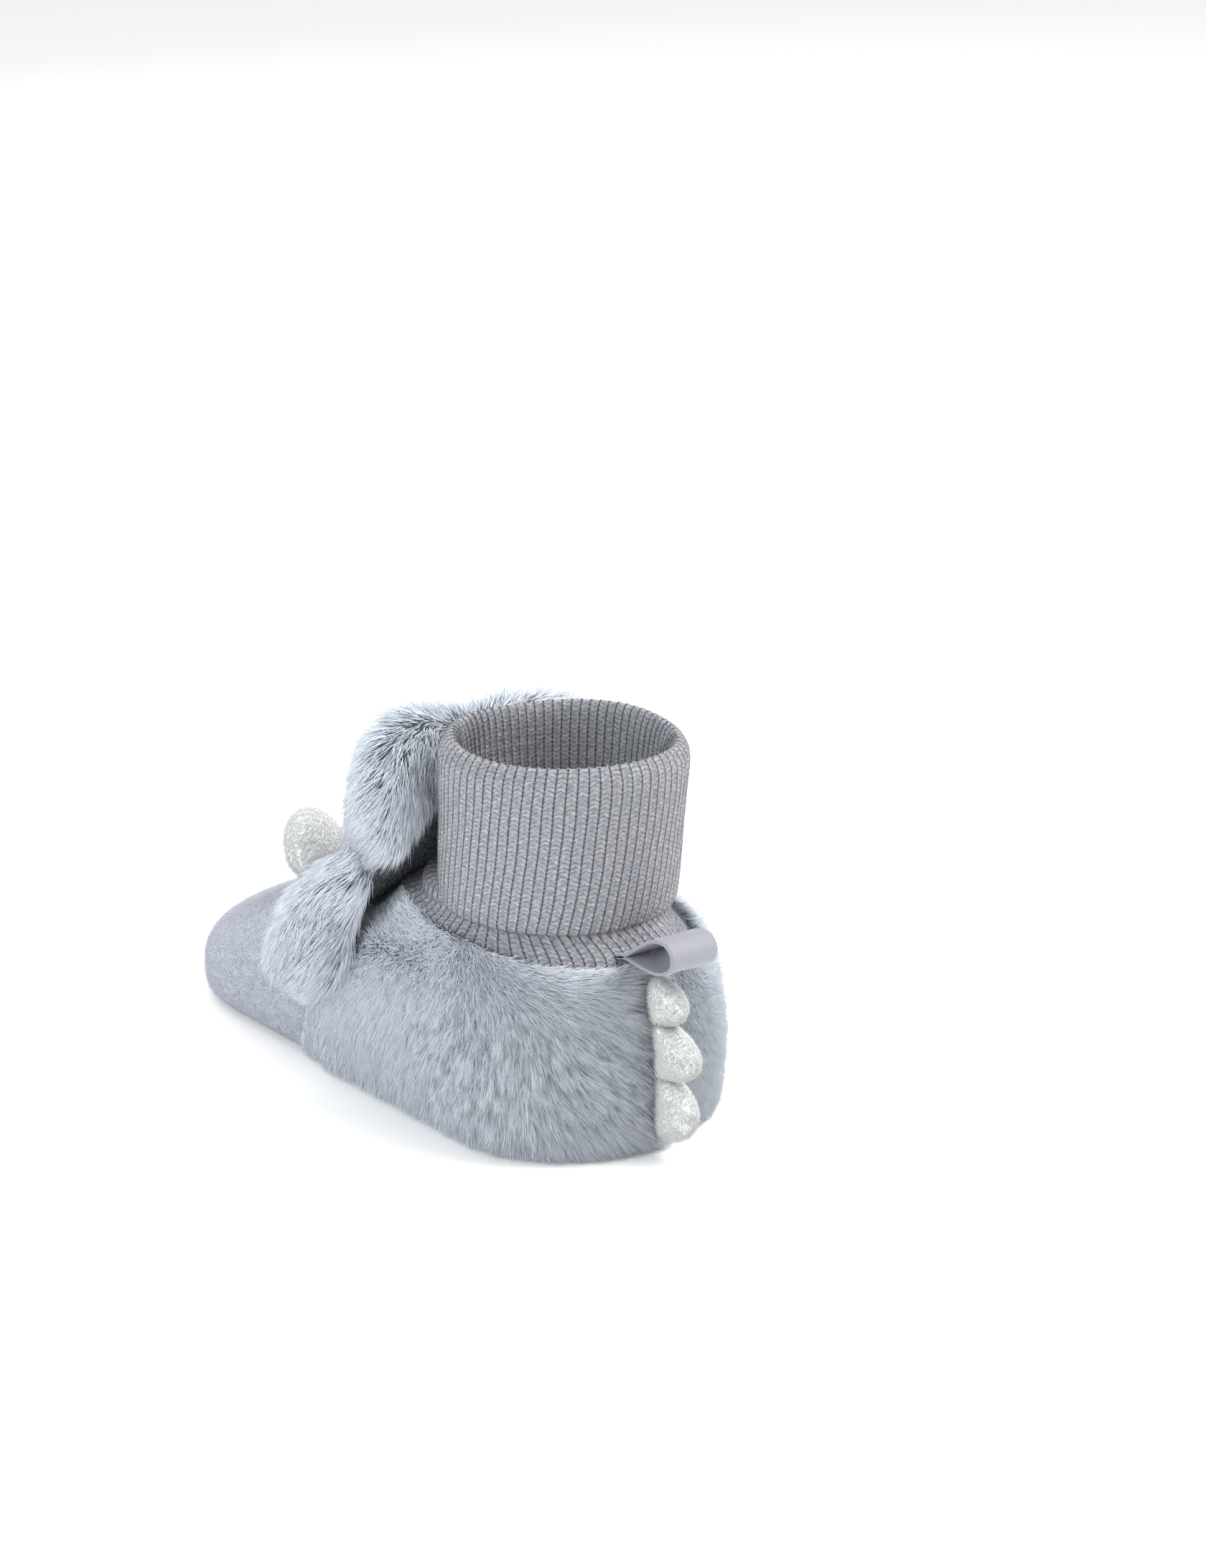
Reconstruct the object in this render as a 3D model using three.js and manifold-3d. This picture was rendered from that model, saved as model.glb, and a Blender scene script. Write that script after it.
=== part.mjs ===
// A plush dinosaur baby bootie: fur side panels, a smooth toe panel, a padded neck frill, two brow
// horns, a scalloped heel spine, a turned-down rib cuff, a tape pull loop and a soft sole.
// Millimetres. +Z is up, the toe points to -Y, +X is the wearer's left. The origin is on the ground,
// at the middle of the sole's length.
import * as THREE from 'three';
import { ParametricGeometry } from 'three/addons/geometries/ParametricGeometry.js';
import { mergeVertices } from 'three/addons/utils/BufferGeometryUtils.js';
import Module from 'manifold-3d';

const wasm = await Module();
wasm.setup();

// Driving dimensions of the shoe body.
const toeEnd = -72;
const heelEnd = 72.5;
const ankleY = 43.5;
const soleHalfWidth = 29.5;
const toeRounding = 33;
const heelRounding = 27;
const collarRadius = 27;
const collarFrontReach = 33;
const collarHeelHeight = 39;
const collarSideHeight = 43;
const collarFrontHeight = 46.5;
const soleBulge = 5;
const furPile = 3;
const toePile = 0.8;
const gap = 0.3;

// Layers, from the ground up and from the outside in.
const outsoleThickness = 1.6;
const paddingThickness = 3.2;
const insoleThickness = 1.2;
const backingDepth = 2.4;
const liningThickness = 1.2;
const upperBottom = outsoleThickness + gap;
const pileHem = 0.2;
const liningInset = backingDepth + 2 * gap;
const cavityInset = liningInset + liningThickness;

// The seam between the toe panel and the fur side panels lies in a plane that leans back.
const seamFootY = -13;
const seamLean = 0.38;

// Rib cuff: a knitted tube with its upper half turned down over the outside.
const rimHeight = 81;
const rimRadius = 25.9;
const hemHeight = 46.5;
const hemRadius = 24.9;
const turnbackThickness = 2.8;
const sleeveThickness = 2.2;
const sleeveRadius = 21.6;

// Frill, horns, heel spine and pull loop.
const frillHalfThickness = 8;
const frillFabric = 1.5;
const frillClearance = 1.5;
const hornSpread = 7.8;
const hornBaseY = -34.6;
const hornBaseZ = 29;
const hornLean = 0.3;
const hornSplay = 0.25;
const hornTurn = 0.28;
const hornLength = 15.2;
const hornShoulder = 0.45;
const hornHalfWidth = 7.6;
const hornHalfDepth = 4.6;
const hornFootWidth = 5.2;
const hornFootDepth = 2.2;
const hornFabric = 0.9;
const spineHalfThickness = 3.4;
const spineFabric = 0.9;
const spineClearance = 0.9;
const spineReaches = [10.5, 12, 9];
const spineNotchReach = 4;
const spineFootRise = 0.04;
const spineTopRise = 0.93;
const fillingStop = 0.07;
const tapeWidth = 11.5;
const tapeThickness = 0.7;
const loopLength = 16;
const loopHalfHeight = 3.3;
const loopRise = 0.28;
const loopRootY = 71;
const loopRootZ = 42;

const finishes = {
  fur: { color: 0xb2bbc5, roughness: 0.95, metalness: 0 },
  velboa: { color: 0xb9bcca, roughness: 0.9, metalness: 0 },
  whitePlush: { color: 0xecece9, roughness: 0.95, metalness: 0 },
  knit: { color: 0xacadb8, roughness: 0.9, metalness: 0 },
  tape: { color: 0xa5a7b4, roughness: 0.6, metalness: 0 },
  lining: { color: 0xd8d6d2, roughness: 0.95, metalness: 0 },
  soleFabric: { color: 0x9a9ca8, roughness: 0.9, metalness: 0 },
  wadding: { color: 0xf3f3f0, roughness: 1, metalness: 0 },
};

// Joins shared vertices, drops triangles that have no area and turns the faces outwards.
function closedGeometry(source) {
  source.deleteAttribute('normal');
  source.deleteAttribute('uv');
  const welded = mergeVertices(source, 1e-4);
  const corners = [];
  const index = welded.index.array;
  for (let i = 0; i < index.length; i += 3) {
    const [a, b, c] = [index[i], index[i + 1], index[i + 2]];
    if (a !== b && b !== c && c !== a) corners.push(a, b, c);
  }
  welded.setIndex(signedVolume(welded, corners) < 0 ? corners.reverse() : corners);
  return welded;
}

function signedVolume(geometry, corners) {
  const position = geometry.attributes.position;
  const [a, b, c] = [new THREE.Vector3(), new THREE.Vector3(), new THREE.Vector3()];
  let volume = 0;
  for (let i = 0; i < corners.length; i += 3) {
    a.fromBufferAttribute(position, corners[i]);
    b.fromBufferAttribute(position, corners[i + 1]);
    c.fromBufferAttribute(position, corners[i + 2]);
    volume += a.dot(b.cross(c)) / 6;
  }
  return volume;
}

// A closed surface given by a point for each (along, around) pair from 0 to 1.
function surfaceSolid(pointAt, alongSteps, aroundSteps) {
  const place = (along, around, target) => target.copy(pointAt(along, around % 1));
  return closedGeometry(new ParametricGeometry(place, alongSteps, aroundSteps));
}

function toManifold(geometry) {
  const vertProperties = new Float32Array(geometry.attributes.position.array);
  const triVerts = new Uint32Array(geometry.index.array);
  return new wasm.Manifold(new wasm.Mesh({ numProp: 3, vertProperties, triVerts }));
}

function fromManifold(solid) {
  const mesh = solid.getMesh();
  const geometry = new THREE.BufferGeometry();
  geometry.setAttribute('position', new THREE.Float32BufferAttribute(mesh.vertProperties, 3));
  geometry.setIndex(Array.from(mesh.triVerts));
  return geometry;
}

function smoothStep(low, high, value) {
  return THREE.MathUtils.smoothstep(value, low, high);
}

// Half the width of the sole at a distance along it, rounded at the toe and the heel.
function soleWidthAt(y) {
  const waist = 1 - 0.06 * smoothStep(-30, 40, y);
  const toe = Math.min(1, (y - toeEnd) / toeRounding);
  const heel = Math.min(1, (heelEnd - y) / heelRounding);
  const toeShape = Math.sqrt(Math.max(0, 1 - (1 - toe) ** 2.1));
  const heelShape = Math.sqrt(Math.max(0, 1 - (1 - heel) ** 2.5));
  return soleHalfWidth * waist * toeShape * heelShape;
}

// A point on the sole's edge. Angle 0 is the heel, a half turn is the toe, +X is at a quarter turn.
function soleEdge(angle) {
  const reach = Math.cos(angle) > 0 ? heelEnd - ankleY : ankleY - toeEnd;
  const y = ankleY + reach * Math.cos(angle);
  const side = Math.sin(angle) < 0 ? -1 : 1;
  return new THREE.Vector3(side * soleWidthAt(y), y, upperBottom);
}

function collarHeightAt(angle) {
  const front = (1 - Math.cos(angle)) / 2;
  const rear = THREE.MathUtils.lerp(collarHeelHeight, collarSideHeight, smoothStep(0, 0.5, front));
  return THREE.MathUtils.lerp(rear, collarFrontHeight, smoothStep(0.5, 1, front));
}

function collarEdge(angle) {
  const x = collarRadius * Math.sin(angle);
  const reach = Math.cos(angle) > 0 ? collarRadius : collarFrontReach;
  return new THREE.Vector3(x, ankleY + reach * Math.cos(angle), collarHeightAt(angle));
}

function soleOutward(angle) {
  const step = 0.01;
  const along = soleEdge(angle + step).sub(soleEdge(angle - step));
  return new THREE.Vector3(-along.y, along.x, 0).normalize();
}

// The outer face of the shoe: a curve for each angle, from the sole's edge up to the collar.
function bodySurface(angle, rise) {
  const start = soleEdge(angle);
  const end = collarEdge(angle);
  const flat = Math.hypot(end.x - start.x, end.y - start.y);
  const instep = smoothStep(0, 85, flat);
  const heel = Math.max(0, Math.cos(angle));
  const low = start.clone().addScaledVector(soleOutward(angle), soleBulge - 2.5 * heel);
  low.z += 17 + 3 * instep;
  const high = end.clone().lerp(start, 0.6 * instep);
  high.z = end.z - 9 - 17 * instep;
  return new THREE.CubicBezierCurve3(start, low, high, end).getPoint(rise);
}

// The same face moved inwards along its normal.
function bodyPoint(angle, rise, inset) {
  const point = bodySurface(angle, rise);
  if (inset === 0) return point;
  const step = 0.004;
  const low = Math.max(0, rise - step);
  const high = Math.min(1, rise + step);
  const up = bodySurface(angle, high).sub(bodySurface(angle, low));
  const round = bodySurface(angle + step, rise).sub(bodySurface(angle - step, rise));
  const outward = up.cross(round).normalize();
  if (rise === 0) outward.setZ(0).normalize();
  return point.addScaledVector(outward, -inset);
}

// A ring of fabric that follows the body between two depths below its face.
function bodyLayer(outerInset, innerInset, roundSteps, riseSteps) {
  const loop = riseSteps * 2 + 2;
  const pointAt = (along, around) => {
    const angle = along === 1 ? 0 : along * Math.PI * 2;
    const place = Math.round(around * loop);
    const outer = place <= riseSteps;
    const rise = outer ? place / riseSteps : (loop - 1 - place) / riseSteps;
    return bodyPoint(angle, rise, outer ? outerInset : innerInset);
  };
  return surfaceSolid(pointAt, roundSteps, loop);
}

// The outer fabric ring: its backing stands on the outsole and its pile hangs to the ground outside.
function furLayer(pile, roundSteps, riseSteps) {
  const section = (angle) => {
    const points = [];
    const hang = bodyPoint(angle, 0, -pile * 0.8).setZ(pileHem);
    points.push(hang);
    for (let i = 0; i <= riseSteps; i += 1) {
      const rise = i / riseSteps;
      points.push(bodyPoint(angle, rise, -pile * (1 - 0.6 * rise ** 3)));
    }
    for (let i = riseSteps; i >= 0; i -= 1) points.push(bodyPoint(angle, i / riseSteps, backingDepth));
    const fold = bodyPoint(angle, 0, 0);
    points.push(fold, fold.clone().setZ(pileHem));
    return points;
  };
  const sections = Array.from({ length: roundSteps }, (_, i) => section((i / roundSteps) * Math.PI * 2));
  const loop = sections[0].length;
  const pointAt = (along, around) => {
    const ring = sections[Math.round(along * roundSteps) % roundSteps];
    return ring[Math.round(around * loop) % loop];
  };
  return surfaceSolid(pointAt, roundSteps, loop);
}

function block(width, depth, height, x, y, z) {
  const box = new THREE.BoxGeometry(width, depth, height);
  box.translate(x, y, z);
  return box;
}

// Everything in front of the leaning seam plane, moved forward by half the sewing gap or back by it.
function headSpace(shift) {
  const size = 240;
  const box = block(size, size, size, 0, -size / 2, 0);
  box.rotateX(-Math.atan(seamLean));
  box.translate(0, seamFootY + shift, 0);
  return toManifold(closedGeometry(box));
}

function sidePanel(shell, side) {
  const half = toManifold(closedGeometry(block(100, 300, 200, side * (50 + gap / 2), 0, 0)));
  return fromManifold(shell.subtract(headSpace(gap / 2)).intersect(half));
}

function solePlate(inset, bottom, thickness) {
  const steps = 72;
  const shape = new THREE.Shape();
  for (let i = 0; i < steps; i += 1) {
    const angle = (i / steps) * Math.PI * 2;
    const point = soleEdge(angle).addScaledVector(soleOutward(angle), -inset);
    if (i === 0) shape.moveTo(point.x, point.y);
    else shape.lineTo(point.x, point.y);
  }
  const plate = new THREE.ExtrudeGeometry(shape, { depth: thickness, bevelEnabled: false });
  plate.translate(0, 0, bottom);
  return closedGeometry(plate);
}

// The cuff's cross-section at one side of the ankle, from the collar up, over the rim and down.
function cuffSection(angle) {
  const foot = collarHeightAt(angle) + 2 * gap;
  const inner = sleeveRadius - sleeveThickness;
  const front = Math.max(0, -Math.cos(angle)) * (collarFrontReach - collarRadius);
  return [
    [collarRadius + front - 0.8, foot],
    [sleeveRadius + front / 2 + 1.4, foot + 3.5],
    [sleeveRadius, foot + 9],
    [sleeveRadius, rimHeight - 8],
    [sleeveRadius + 0.3, rimHeight - 4],
    [rimRadius - turnbackThickness, rimHeight - 6],
    [hemRadius - turnbackThickness + 0.3, hemHeight + 2],
    [hemRadius - turnbackThickness / 2, hemHeight],
    [hemRadius, hemHeight + 2],
    [hemRadius + 0.7, (hemHeight + rimHeight) / 2],
    [rimRadius, rimHeight - 5],
    [rimRadius - 1, rimHeight - 1.4],
    [rimRadius - 3.2, rimHeight],
    [inner + 0.6, rimHeight - 1.8],
    [inner, rimHeight - 6],
    [inner, foot + 8],
    [inner + front / 2 + 1, foot + 3],
    [collarRadius + front - 3.4, foot],
  ];
}

function ribCuff() {
  const roundSteps = 48;
  const loop = cuffSection(0).length;
  const pointAt = (along, around) => {
    const angle = along === 1 ? 0 : along * Math.PI * 2;
    const [radius, height] = cuffSection(angle)[Math.round(around * loop) % loop];
    return new THREE.Vector3(radius * Math.sin(angle), ankleY + radius * Math.cos(angle), height);
  };
  return surfaceSolid(pointAt, roundSteps, loop);
}

// One fabric face of a flat sewn pad that runs along a root line and an edge line. Its section is
// half an ellipse between them, and side is -1 or 1.
function padFace(pad, side, alongSteps, arcSteps) {
  const loop = arcSteps * 2 + 2;
  const pointAt = (along, around) => {
    const half = pad.halfThickness(along);
    const thinning = Math.min(1, half / pad.fullHalf);
    const place = Math.round(around * loop);
    const outer = place <= arcSteps;
    const inset = outer ? 0 : pad.fabric * thinning;
    const turn = side * Math.PI * (outer ? place : loop - 1 - place) / arcSteps;
    const shift = (gap / 2) * side * thinning;
    return pad.place(padPoint(pad, along, turn, inset, half, 1).addScaledVector(pad.normal, shift));
  };
  return surfaceSolid(pointAt, alongSteps, loop);
}

// The pad's filling, which stops short of both ends of the pad and closes to a point there.
function padFilling(pad, alongSteps, arcSteps) {
  const loop = arcSteps * 2;
  const pointAt = (along, around) => {
    const inside = THREE.MathUtils.lerp(fillingStop, 1 - fillingStop, along);
    const half = pad.halfThickness(inside);
    const taper = Math.sqrt(Math.min(1, along * 8, (1 - along) * 8));
    const turn = (Math.round(around * loop) / arcSteps) * Math.PI;
    return pad.place(padPoint(pad, inside, turn, pad.fabric + 2 * gap, half, taper));
  };
  return surfaceSolid(pointAt, alongSteps, loop);
}

function padPoint(pad, along, turn, inset, half, taper) {
  const root = pad.root(along);
  const edge = pad.edge(along);
  const middle = root.clone().add(edge).multiplyScalar(0.5);
  const reach = edge.clone().sub(root).multiplyScalar(0.5);
  const across = Math.max(0, 1 - inset / reach.length()) * taper;
  const depth = Math.max(0, half - inset) * taper;
  middle.addScaledVector(reach, Math.cos(turn) * across);
  return middle.addScaledVector(pad.normal, Math.sin(turn) * depth);
}

// Where the seam plane crosses the body's outer face, for one angle round the shoe.
function seamPoint(angle) {
  let low = 0;
  let high = 1;
  for (let i = 0; i < 24; i += 1) {
    const middle = (low + high) / 2;
    const point = bodySurface(angle, middle);
    if (point.y - seamFootY < point.z * seamLean) low = middle;
    else high = middle;
  }
  return bodySurface(angle, low);
}

// The frill's middle sheet: it follows the seam up the sides, then stands upright before the cuff.
function frillDepth(x, z) {
  const leaning = seamFootY + 1.5 + seamLean * z;
  const upright = 7;
  const blend = smoothStep(38, 60, z);
  return THREE.MathUtils.lerp(Math.min(leaning, upright + 3), upright, blend) + 8 * (x / 28) ** 2 * blend;
}

const frillOutline = new THREE.CatmullRomCurve3([
  new THREE.Vector3(37.5, 0, 14),
  new THREE.Vector3(42, 0, 19),
  new THREE.Vector3(43, 0, 28),
  new THREE.Vector3(40.5, 0, 38),
  new THREE.Vector3(35.5, 0, 48),
  new THREE.Vector3(31.2, 0, 55),
  new THREE.Vector3(31.5, 0, 63),
  new THREE.Vector3(29.5, 0, 72),
  new THREE.Vector3(24, 0, 78.2),
  new THREE.Vector3(15, 0, 80.3),
  new THREE.Vector3(6, 0, 78.4),
  new THREE.Vector3(0, 0, 77.2),
]);

function frillPad() {
  const startAngle = THREE.MathUtils.degToRad(124.5);
  const endAngle = THREE.MathUtils.degToRad(180);
  const halfAt = (along) => 1 - Math.abs(2 * along - 1);
  const sideAt = (along) => (along > 0.5 ? -1 : 1);
  return {
    fabric: frillFabric,
    fullHalf: frillHalfThickness,
    normal: new THREE.Vector3(0, 1, 0),
    halfThickness: (along) => frillHalfThickness * Math.sqrt(Math.sin(Math.PI * Math.min(0.5, halfAt(along) * 2.2))),
    root: (along) => {
      const angle = THREE.MathUtils.lerp(startAngle, endAngle, halfAt(along));
      const seam = seamPoint(angle);
      const away = new THREE.Vector3(seam.x, 0, (seam.z - 14) * 0.9).normalize();
      const root = new THREE.Vector3(seam.x, 0, seam.z).addScaledVector(away, furPile + frillClearance);
      root.x *= sideAt(along);
      return root;
    },
    edge: (along) => {
      const edge = frillOutline.getPointAt(halfAt(along));
      edge.x *= sideAt(along);
      return edge;
    },
    place: (point) => {
      point.y += frillDepth(point.x, point.z);
      return point;
    },
  };
}

// A horn's half width and half depth at a height from its base (0) to its tip (1).
function hornSection(height) {
  const crown = Math.max(0, (height - hornShoulder) / (1 - hornShoulder));
  const rounding = Math.sqrt(1 - crown ** 2.4);
  const spread = smoothStep(0, 0.5, height);
  const width = THREE.MathUtils.lerp(hornFootWidth, hornHalfWidth, spread);
  const depth = THREE.MathUtils.lerp(hornFootDepth, hornHalfDepth, spread);
  return [width * rounding, depth * rounding];
}

// A point of a horn, moved in from its outer face. A taper of 0 puts it on the horn's middle line.
function hornPoint(side, height, turn, inset, taper) {
  const lean = new THREE.Vector3(side * hornSplay, -hornLean, 1).normalize();
  const across = new THREE.Vector3(Math.cos(hornTurn), side * Math.sin(hornTurn), 0);
  across.addScaledVector(lean, -across.dot(lean)).normalize();
  const forward = lean.clone().cross(across);
  const [width, depth] = hornSection(height);
  const point = new THREE.Vector3(side * hornSpread, hornBaseY, hornBaseZ);
  point.addScaledVector(lean, height * (hornLength - inset));
  point.addScaledVector(across, Math.cos(turn) * Math.max(0, width - inset) * taper);
  return point.addScaledVector(forward, Math.sin(turn) * Math.max(0, depth - inset) * taper);
}

// The cover is a bag with its mouth at the base: down its inner face from the tip, and up its outer face.
function hornCover(side) {
  const rows = 8;
  const path = rows * 2 + 1;
  const pointAt = (along, around) => {
    const place = Math.round(along * path);
    const inner = place <= rows;
    const height = inner ? 1 - place / rows : (place - rows - 1) / rows;
    return hornPoint(side, height, around * Math.PI * 2, inner ? hornFabric : 0, 1);
  };
  return surfaceSolid(pointAt, path, 20);
}

function hornFilling(side) {
  const pointAt = (along, around) => {
    const height = THREE.MathUtils.lerp(fillingStop, 1, along);
    const taper = along === 0 ? 0 : 1;
    return hornPoint(side, height, around * Math.PI * 2, hornFabric + gap, taper);
  };
  return surfaceSolid(pointAt, 10, 20);
}

// The heel spine is a scalloped pad that stands out of the centre-back seam.
function spinePad() {
  const lobeAt = (along) => Math.min(spineReaches.length - 1, Math.floor(along * spineReaches.length));
  const wave = (along) => Math.abs(Math.sin(along * spineReaches.length * Math.PI)) ** 0.75;
  const root = (along) => {
    const rise = THREE.MathUtils.lerp(spineFootRise, spineTopRise, along);
    return bodyPoint(0, rise, -furPile).add(new THREE.Vector3(0, spineClearance, 0));
  };
  return {
    fabric: spineFabric,
    fullHalf: spineHalfThickness,
    normal: new THREE.Vector3(1, 0, 0),
    halfThickness: (along) => {
      const end = Math.min(1, along * 12, (1 - along) * 12);
      return spineHalfThickness * (0.5 + 0.5 * wave(along)) * Math.sqrt(Math.max(0, end));
    },
    root,
    edge: (along) => {
      const peak = spineReaches[lobeAt(along)];
      const reach = spineNotchReach + (peak - spineNotchReach) * wave(along);
      return root(along).add(new THREE.Vector3(0, reach, 0));
    },
    place: (point) => point,
  };
}

// The pull loop is one tape, folded back on itself with both ends sewn into the top of the heel seam.
function pullLoop() {
  const half = loopHalfHeight;
  const middle = [
    [0, 0], [0.28 * loopLength, 0.55 * half], [0.62 * loopLength, half], [0.9 * loopLength, 0.8 * half],
    [loopLength, 0], [0.9 * loopLength, -0.8 * half], [0.62 * loopLength, -half], [0.28 * loopLength, -0.55 * half],
  ];
  const points = middle.map(([y, z]) => new THREE.Vector3(0, y, z));
  const path = new THREE.CatmullRomCurve3(points, true);
  const corners = [[1, 1], [-1, 1], [-1, -1], [1, -1]];
  const pointAt = (along, around) => {
    const place = path.getPoint(along % 1);
    const direction = path.getTangent(along % 1);
    const outward = new THREE.Vector3(0, -direction.z, direction.y);
    const [side, layer] = corners[Math.round(around * 4) % 4];
    place.addScaledVector(outward, (layer * tapeThickness) / 2);
    return place.setX((side * tapeWidth) / 2);
  };
  const tape = surfaceSolid(pointAt, 36, 4);
  tape.rotateX(loopRise);
  tape.translate(0, loopRootY, loopRootZ);
  return tape;
}

const group = new THREE.Group();
function add(name, geometry, finish) {
  geometry.computeVertexNormals();
  const mesh = new THREE.Mesh(geometry, new THREE.MeshStandardMaterial(finishes[finish]));
  mesh.name = name;
  group.add(mesh);
}

const furShell = toManifold(furLayer(furPile, 56, 8));
const toeShell = toManifold(furLayer(toePile, 56, 8));
add('upper_left', sidePanel(furShell, 1), 'fur');
add('upper_right', sidePanel(furShell, -1), 'fur');
add('toe_cap', fromManifold(toeShell.intersect(headSpace(-gap / 2))), 'velboa');
add('lining', bodyLayer(liningInset, liningInset + liningThickness, 56, 8), 'lining');
add('outsole', solePlate(0.8, 0, outsoleThickness), 'soleFabric');
add('sole_padding', solePlate(cavityInset + gap, upperBottom, paddingThickness), 'wadding');
add('insole', solePlate(cavityInset + gap, upperBottom + paddingThickness + gap, insoleThickness), 'lining');
add('rib_cuff', ribCuff(), 'knit');

const frill = frillPad();
add('frill_front', padFace(frill, -1, 44, 7), 'fur');
add('frill_back', padFace(frill, 1, 44, 7), 'fur');
add('frill_wadding', padFilling(frill, 44, 6), 'wadding');

for (const [name, side] of [['left', 1], ['right', -1]]) {
  add(`brow_horn_${name}`, hornCover(side), 'whitePlush');
  add(`brow_horn_filling_${name}`, hornFilling(side), 'wadding');
}

const spine = spinePad();
add('heel_spine_left', padFace(spine, 1, 36, 5), 'whitePlush');
add('heel_spine_right', padFace(spine, -1, 36, 5), 'whitePlush');
add('heel_spine_filling', padFilling(spine, 36, 5), 'wadding');
add('pull_loop', pullLoop(), 'tape');

export default group;
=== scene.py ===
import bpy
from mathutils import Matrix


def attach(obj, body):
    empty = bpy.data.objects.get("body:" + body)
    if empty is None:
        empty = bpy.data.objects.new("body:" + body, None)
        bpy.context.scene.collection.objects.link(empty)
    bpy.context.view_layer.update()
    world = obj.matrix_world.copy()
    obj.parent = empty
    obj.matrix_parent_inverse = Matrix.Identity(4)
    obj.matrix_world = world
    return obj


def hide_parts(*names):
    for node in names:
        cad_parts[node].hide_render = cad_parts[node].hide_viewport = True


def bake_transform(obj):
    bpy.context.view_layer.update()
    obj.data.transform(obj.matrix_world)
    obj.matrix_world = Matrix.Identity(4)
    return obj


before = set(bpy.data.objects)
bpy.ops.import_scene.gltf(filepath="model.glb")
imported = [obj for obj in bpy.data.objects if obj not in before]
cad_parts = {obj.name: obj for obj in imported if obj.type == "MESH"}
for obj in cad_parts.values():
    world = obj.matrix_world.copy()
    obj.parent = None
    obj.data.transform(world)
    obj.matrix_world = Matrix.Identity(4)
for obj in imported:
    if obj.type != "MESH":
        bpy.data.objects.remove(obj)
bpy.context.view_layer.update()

import math

import bmesh
import bpy
import numpy as np
from mathutils import Matrix, Vector, kdtree, noise

# A plush dinosaur bootie. Lengths in the dictionaries are millimetres, and mm turns them into metres.
# Toe towards -Y, heel towards +Y, +Z up. Angles round the shoe start at the heel and turn to +X.
mm = 0.001
rng = np.random.default_rng(7)
bothSides = (("left", 1), ("right", -1))

print("camera and light")
cameraSet = {
    "azimuth": 143,
    "elevation": 19,
    "distance": 937.5,
    "lens": 98.9,
    "shiftRight": 33.9,
    "shiftDown": 55.0,
}


def addToScene(item):
    bpy.context.scene.collection.objects.link(item)


def setCamera():
    turn = math.radians(cameraSet["azimuth"])
    tilt = math.radians(cameraSet["elevation"])
    back = Vector((math.sin(turn) * math.cos(tilt), -math.cos(turn) * math.cos(tilt), math.sin(tilt)))
    right = (-back).cross(Vector((0, 0, 1))).normalized()
    up = right.cross(-back)
    place = back * cameraSet["distance"] + right * cameraSet["shiftRight"] + up * cameraSet["shiftDown"]
    data = bpy.data.cameras.new("view")
    data.lens = cameraSet["lens"]
    data.sensor_width = 36
    data.clip_start = 0.01
    camera = bpy.data.objects.new("view", data)
    axes = Matrix((right, up, back)).transposed().to_4x4()
    camera.matrix_world = Matrix.Translation(place * mm) @ axes
    addToScene(camera)
    bpy.context.scene.camera = camera


lightSet = [
    {"name": "key", "at": (-560, 340, 860), "size": 700, "power": 13, "colour": (1.0, 0.985, 0.96)},
    {"name": "side", "at": (850, 200, 420), "size": 700, "power": 5.4, "colour": (0.95, 0.98, 1.0)},
    {"name": "front", "at": (-100, -800, 600), "size": 700, "power": 5, "colour": (1.0, 1.0, 1.0)},
]
lightAim = 30
skyLight = 0.8


def setLights():
    world = bpy.data.worlds.new("studio")
    world.use_nodes = True
    world.node_tree.nodes["Background"].inputs["Color"].default_value = (1, 1, 1, 1)
    world.node_tree.nodes["Background"].inputs["Strength"].default_value = skyLight
    bpy.context.scene.world = world
    for item in lightSet:
        data = bpy.data.lights.new(item["name"], "AREA")
        data.size = item["size"] * mm
        data.energy = item["power"]
        data.color = item["colour"]
        light = bpy.data.objects.new(item["name"], data)
        light.location = Vector(item["at"]) * mm
        aim = Vector((0, 0, lightAim * mm)) - light.location
        light.rotation_euler = aim.to_track_quat("-Z", "Y").to_euler()
        addToScene(light)


setCamera()
setLights()
bpy.context.scene.view_settings.view_transform = "Standard"


def newMaterial(name, roughness=0.9, sheen=0.0, specular=0.3):
    material = bpy.data.materials.new(name)
    material.use_nodes = True
    shader = material.node_tree.nodes["Principled BSDF"]
    shader.inputs["Roughness"].default_value = roughness
    shader.inputs["Sheen Weight"].default_value = sheen
    shader.inputs["Sheen Roughness"].default_value = 0.4
    shader.inputs["Specular IOR Level"].default_value = specular
    return material, material.node_tree, shader


def addNode(tree, kind, values=(), **settings):
    node = tree.nodes.new("ShaderNode" + kind)
    for key, value in settings.items():
        setattr(node, key, value)
    for key, value in dict(values).items():
        node.inputs[key].default_value = value
    return node


def addRamp(tree, factor, stops):
    ramp = addNode(tree, "ValToRGB")
    while len(ramp.color_ramp.elements) < len(stops):
        ramp.color_ramp.elements.new(0.5)
    for element, (place, colour) in zip(ramp.color_ramp.elements, stops):
        element.position = place
        element.color = (*colour, 1)
    tree.links.new(factor, ramp.inputs["Fac"])
    return ramp.outputs["Color"]


def multiplyColours(tree, first, second):
    mix = addNode(tree, "Mix", {"Factor": 1.0}, data_type="RGBA", blend_type="MULTIPLY")
    tree.links.new(first, mix.inputs["A"])
    tree.links.new(second, mix.inputs["B"])
    return mix.outputs["Result"]


def addBump(tree, shader, height, strength, distance):
    bump = addNode(tree, "Bump", {"Strength": strength, "Distance": distance * mm})
    tree.links.new(height, bump.inputs["Height"])
    tree.links.new(bump.outputs["Normal"], shader.inputs["Normal"])


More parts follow.
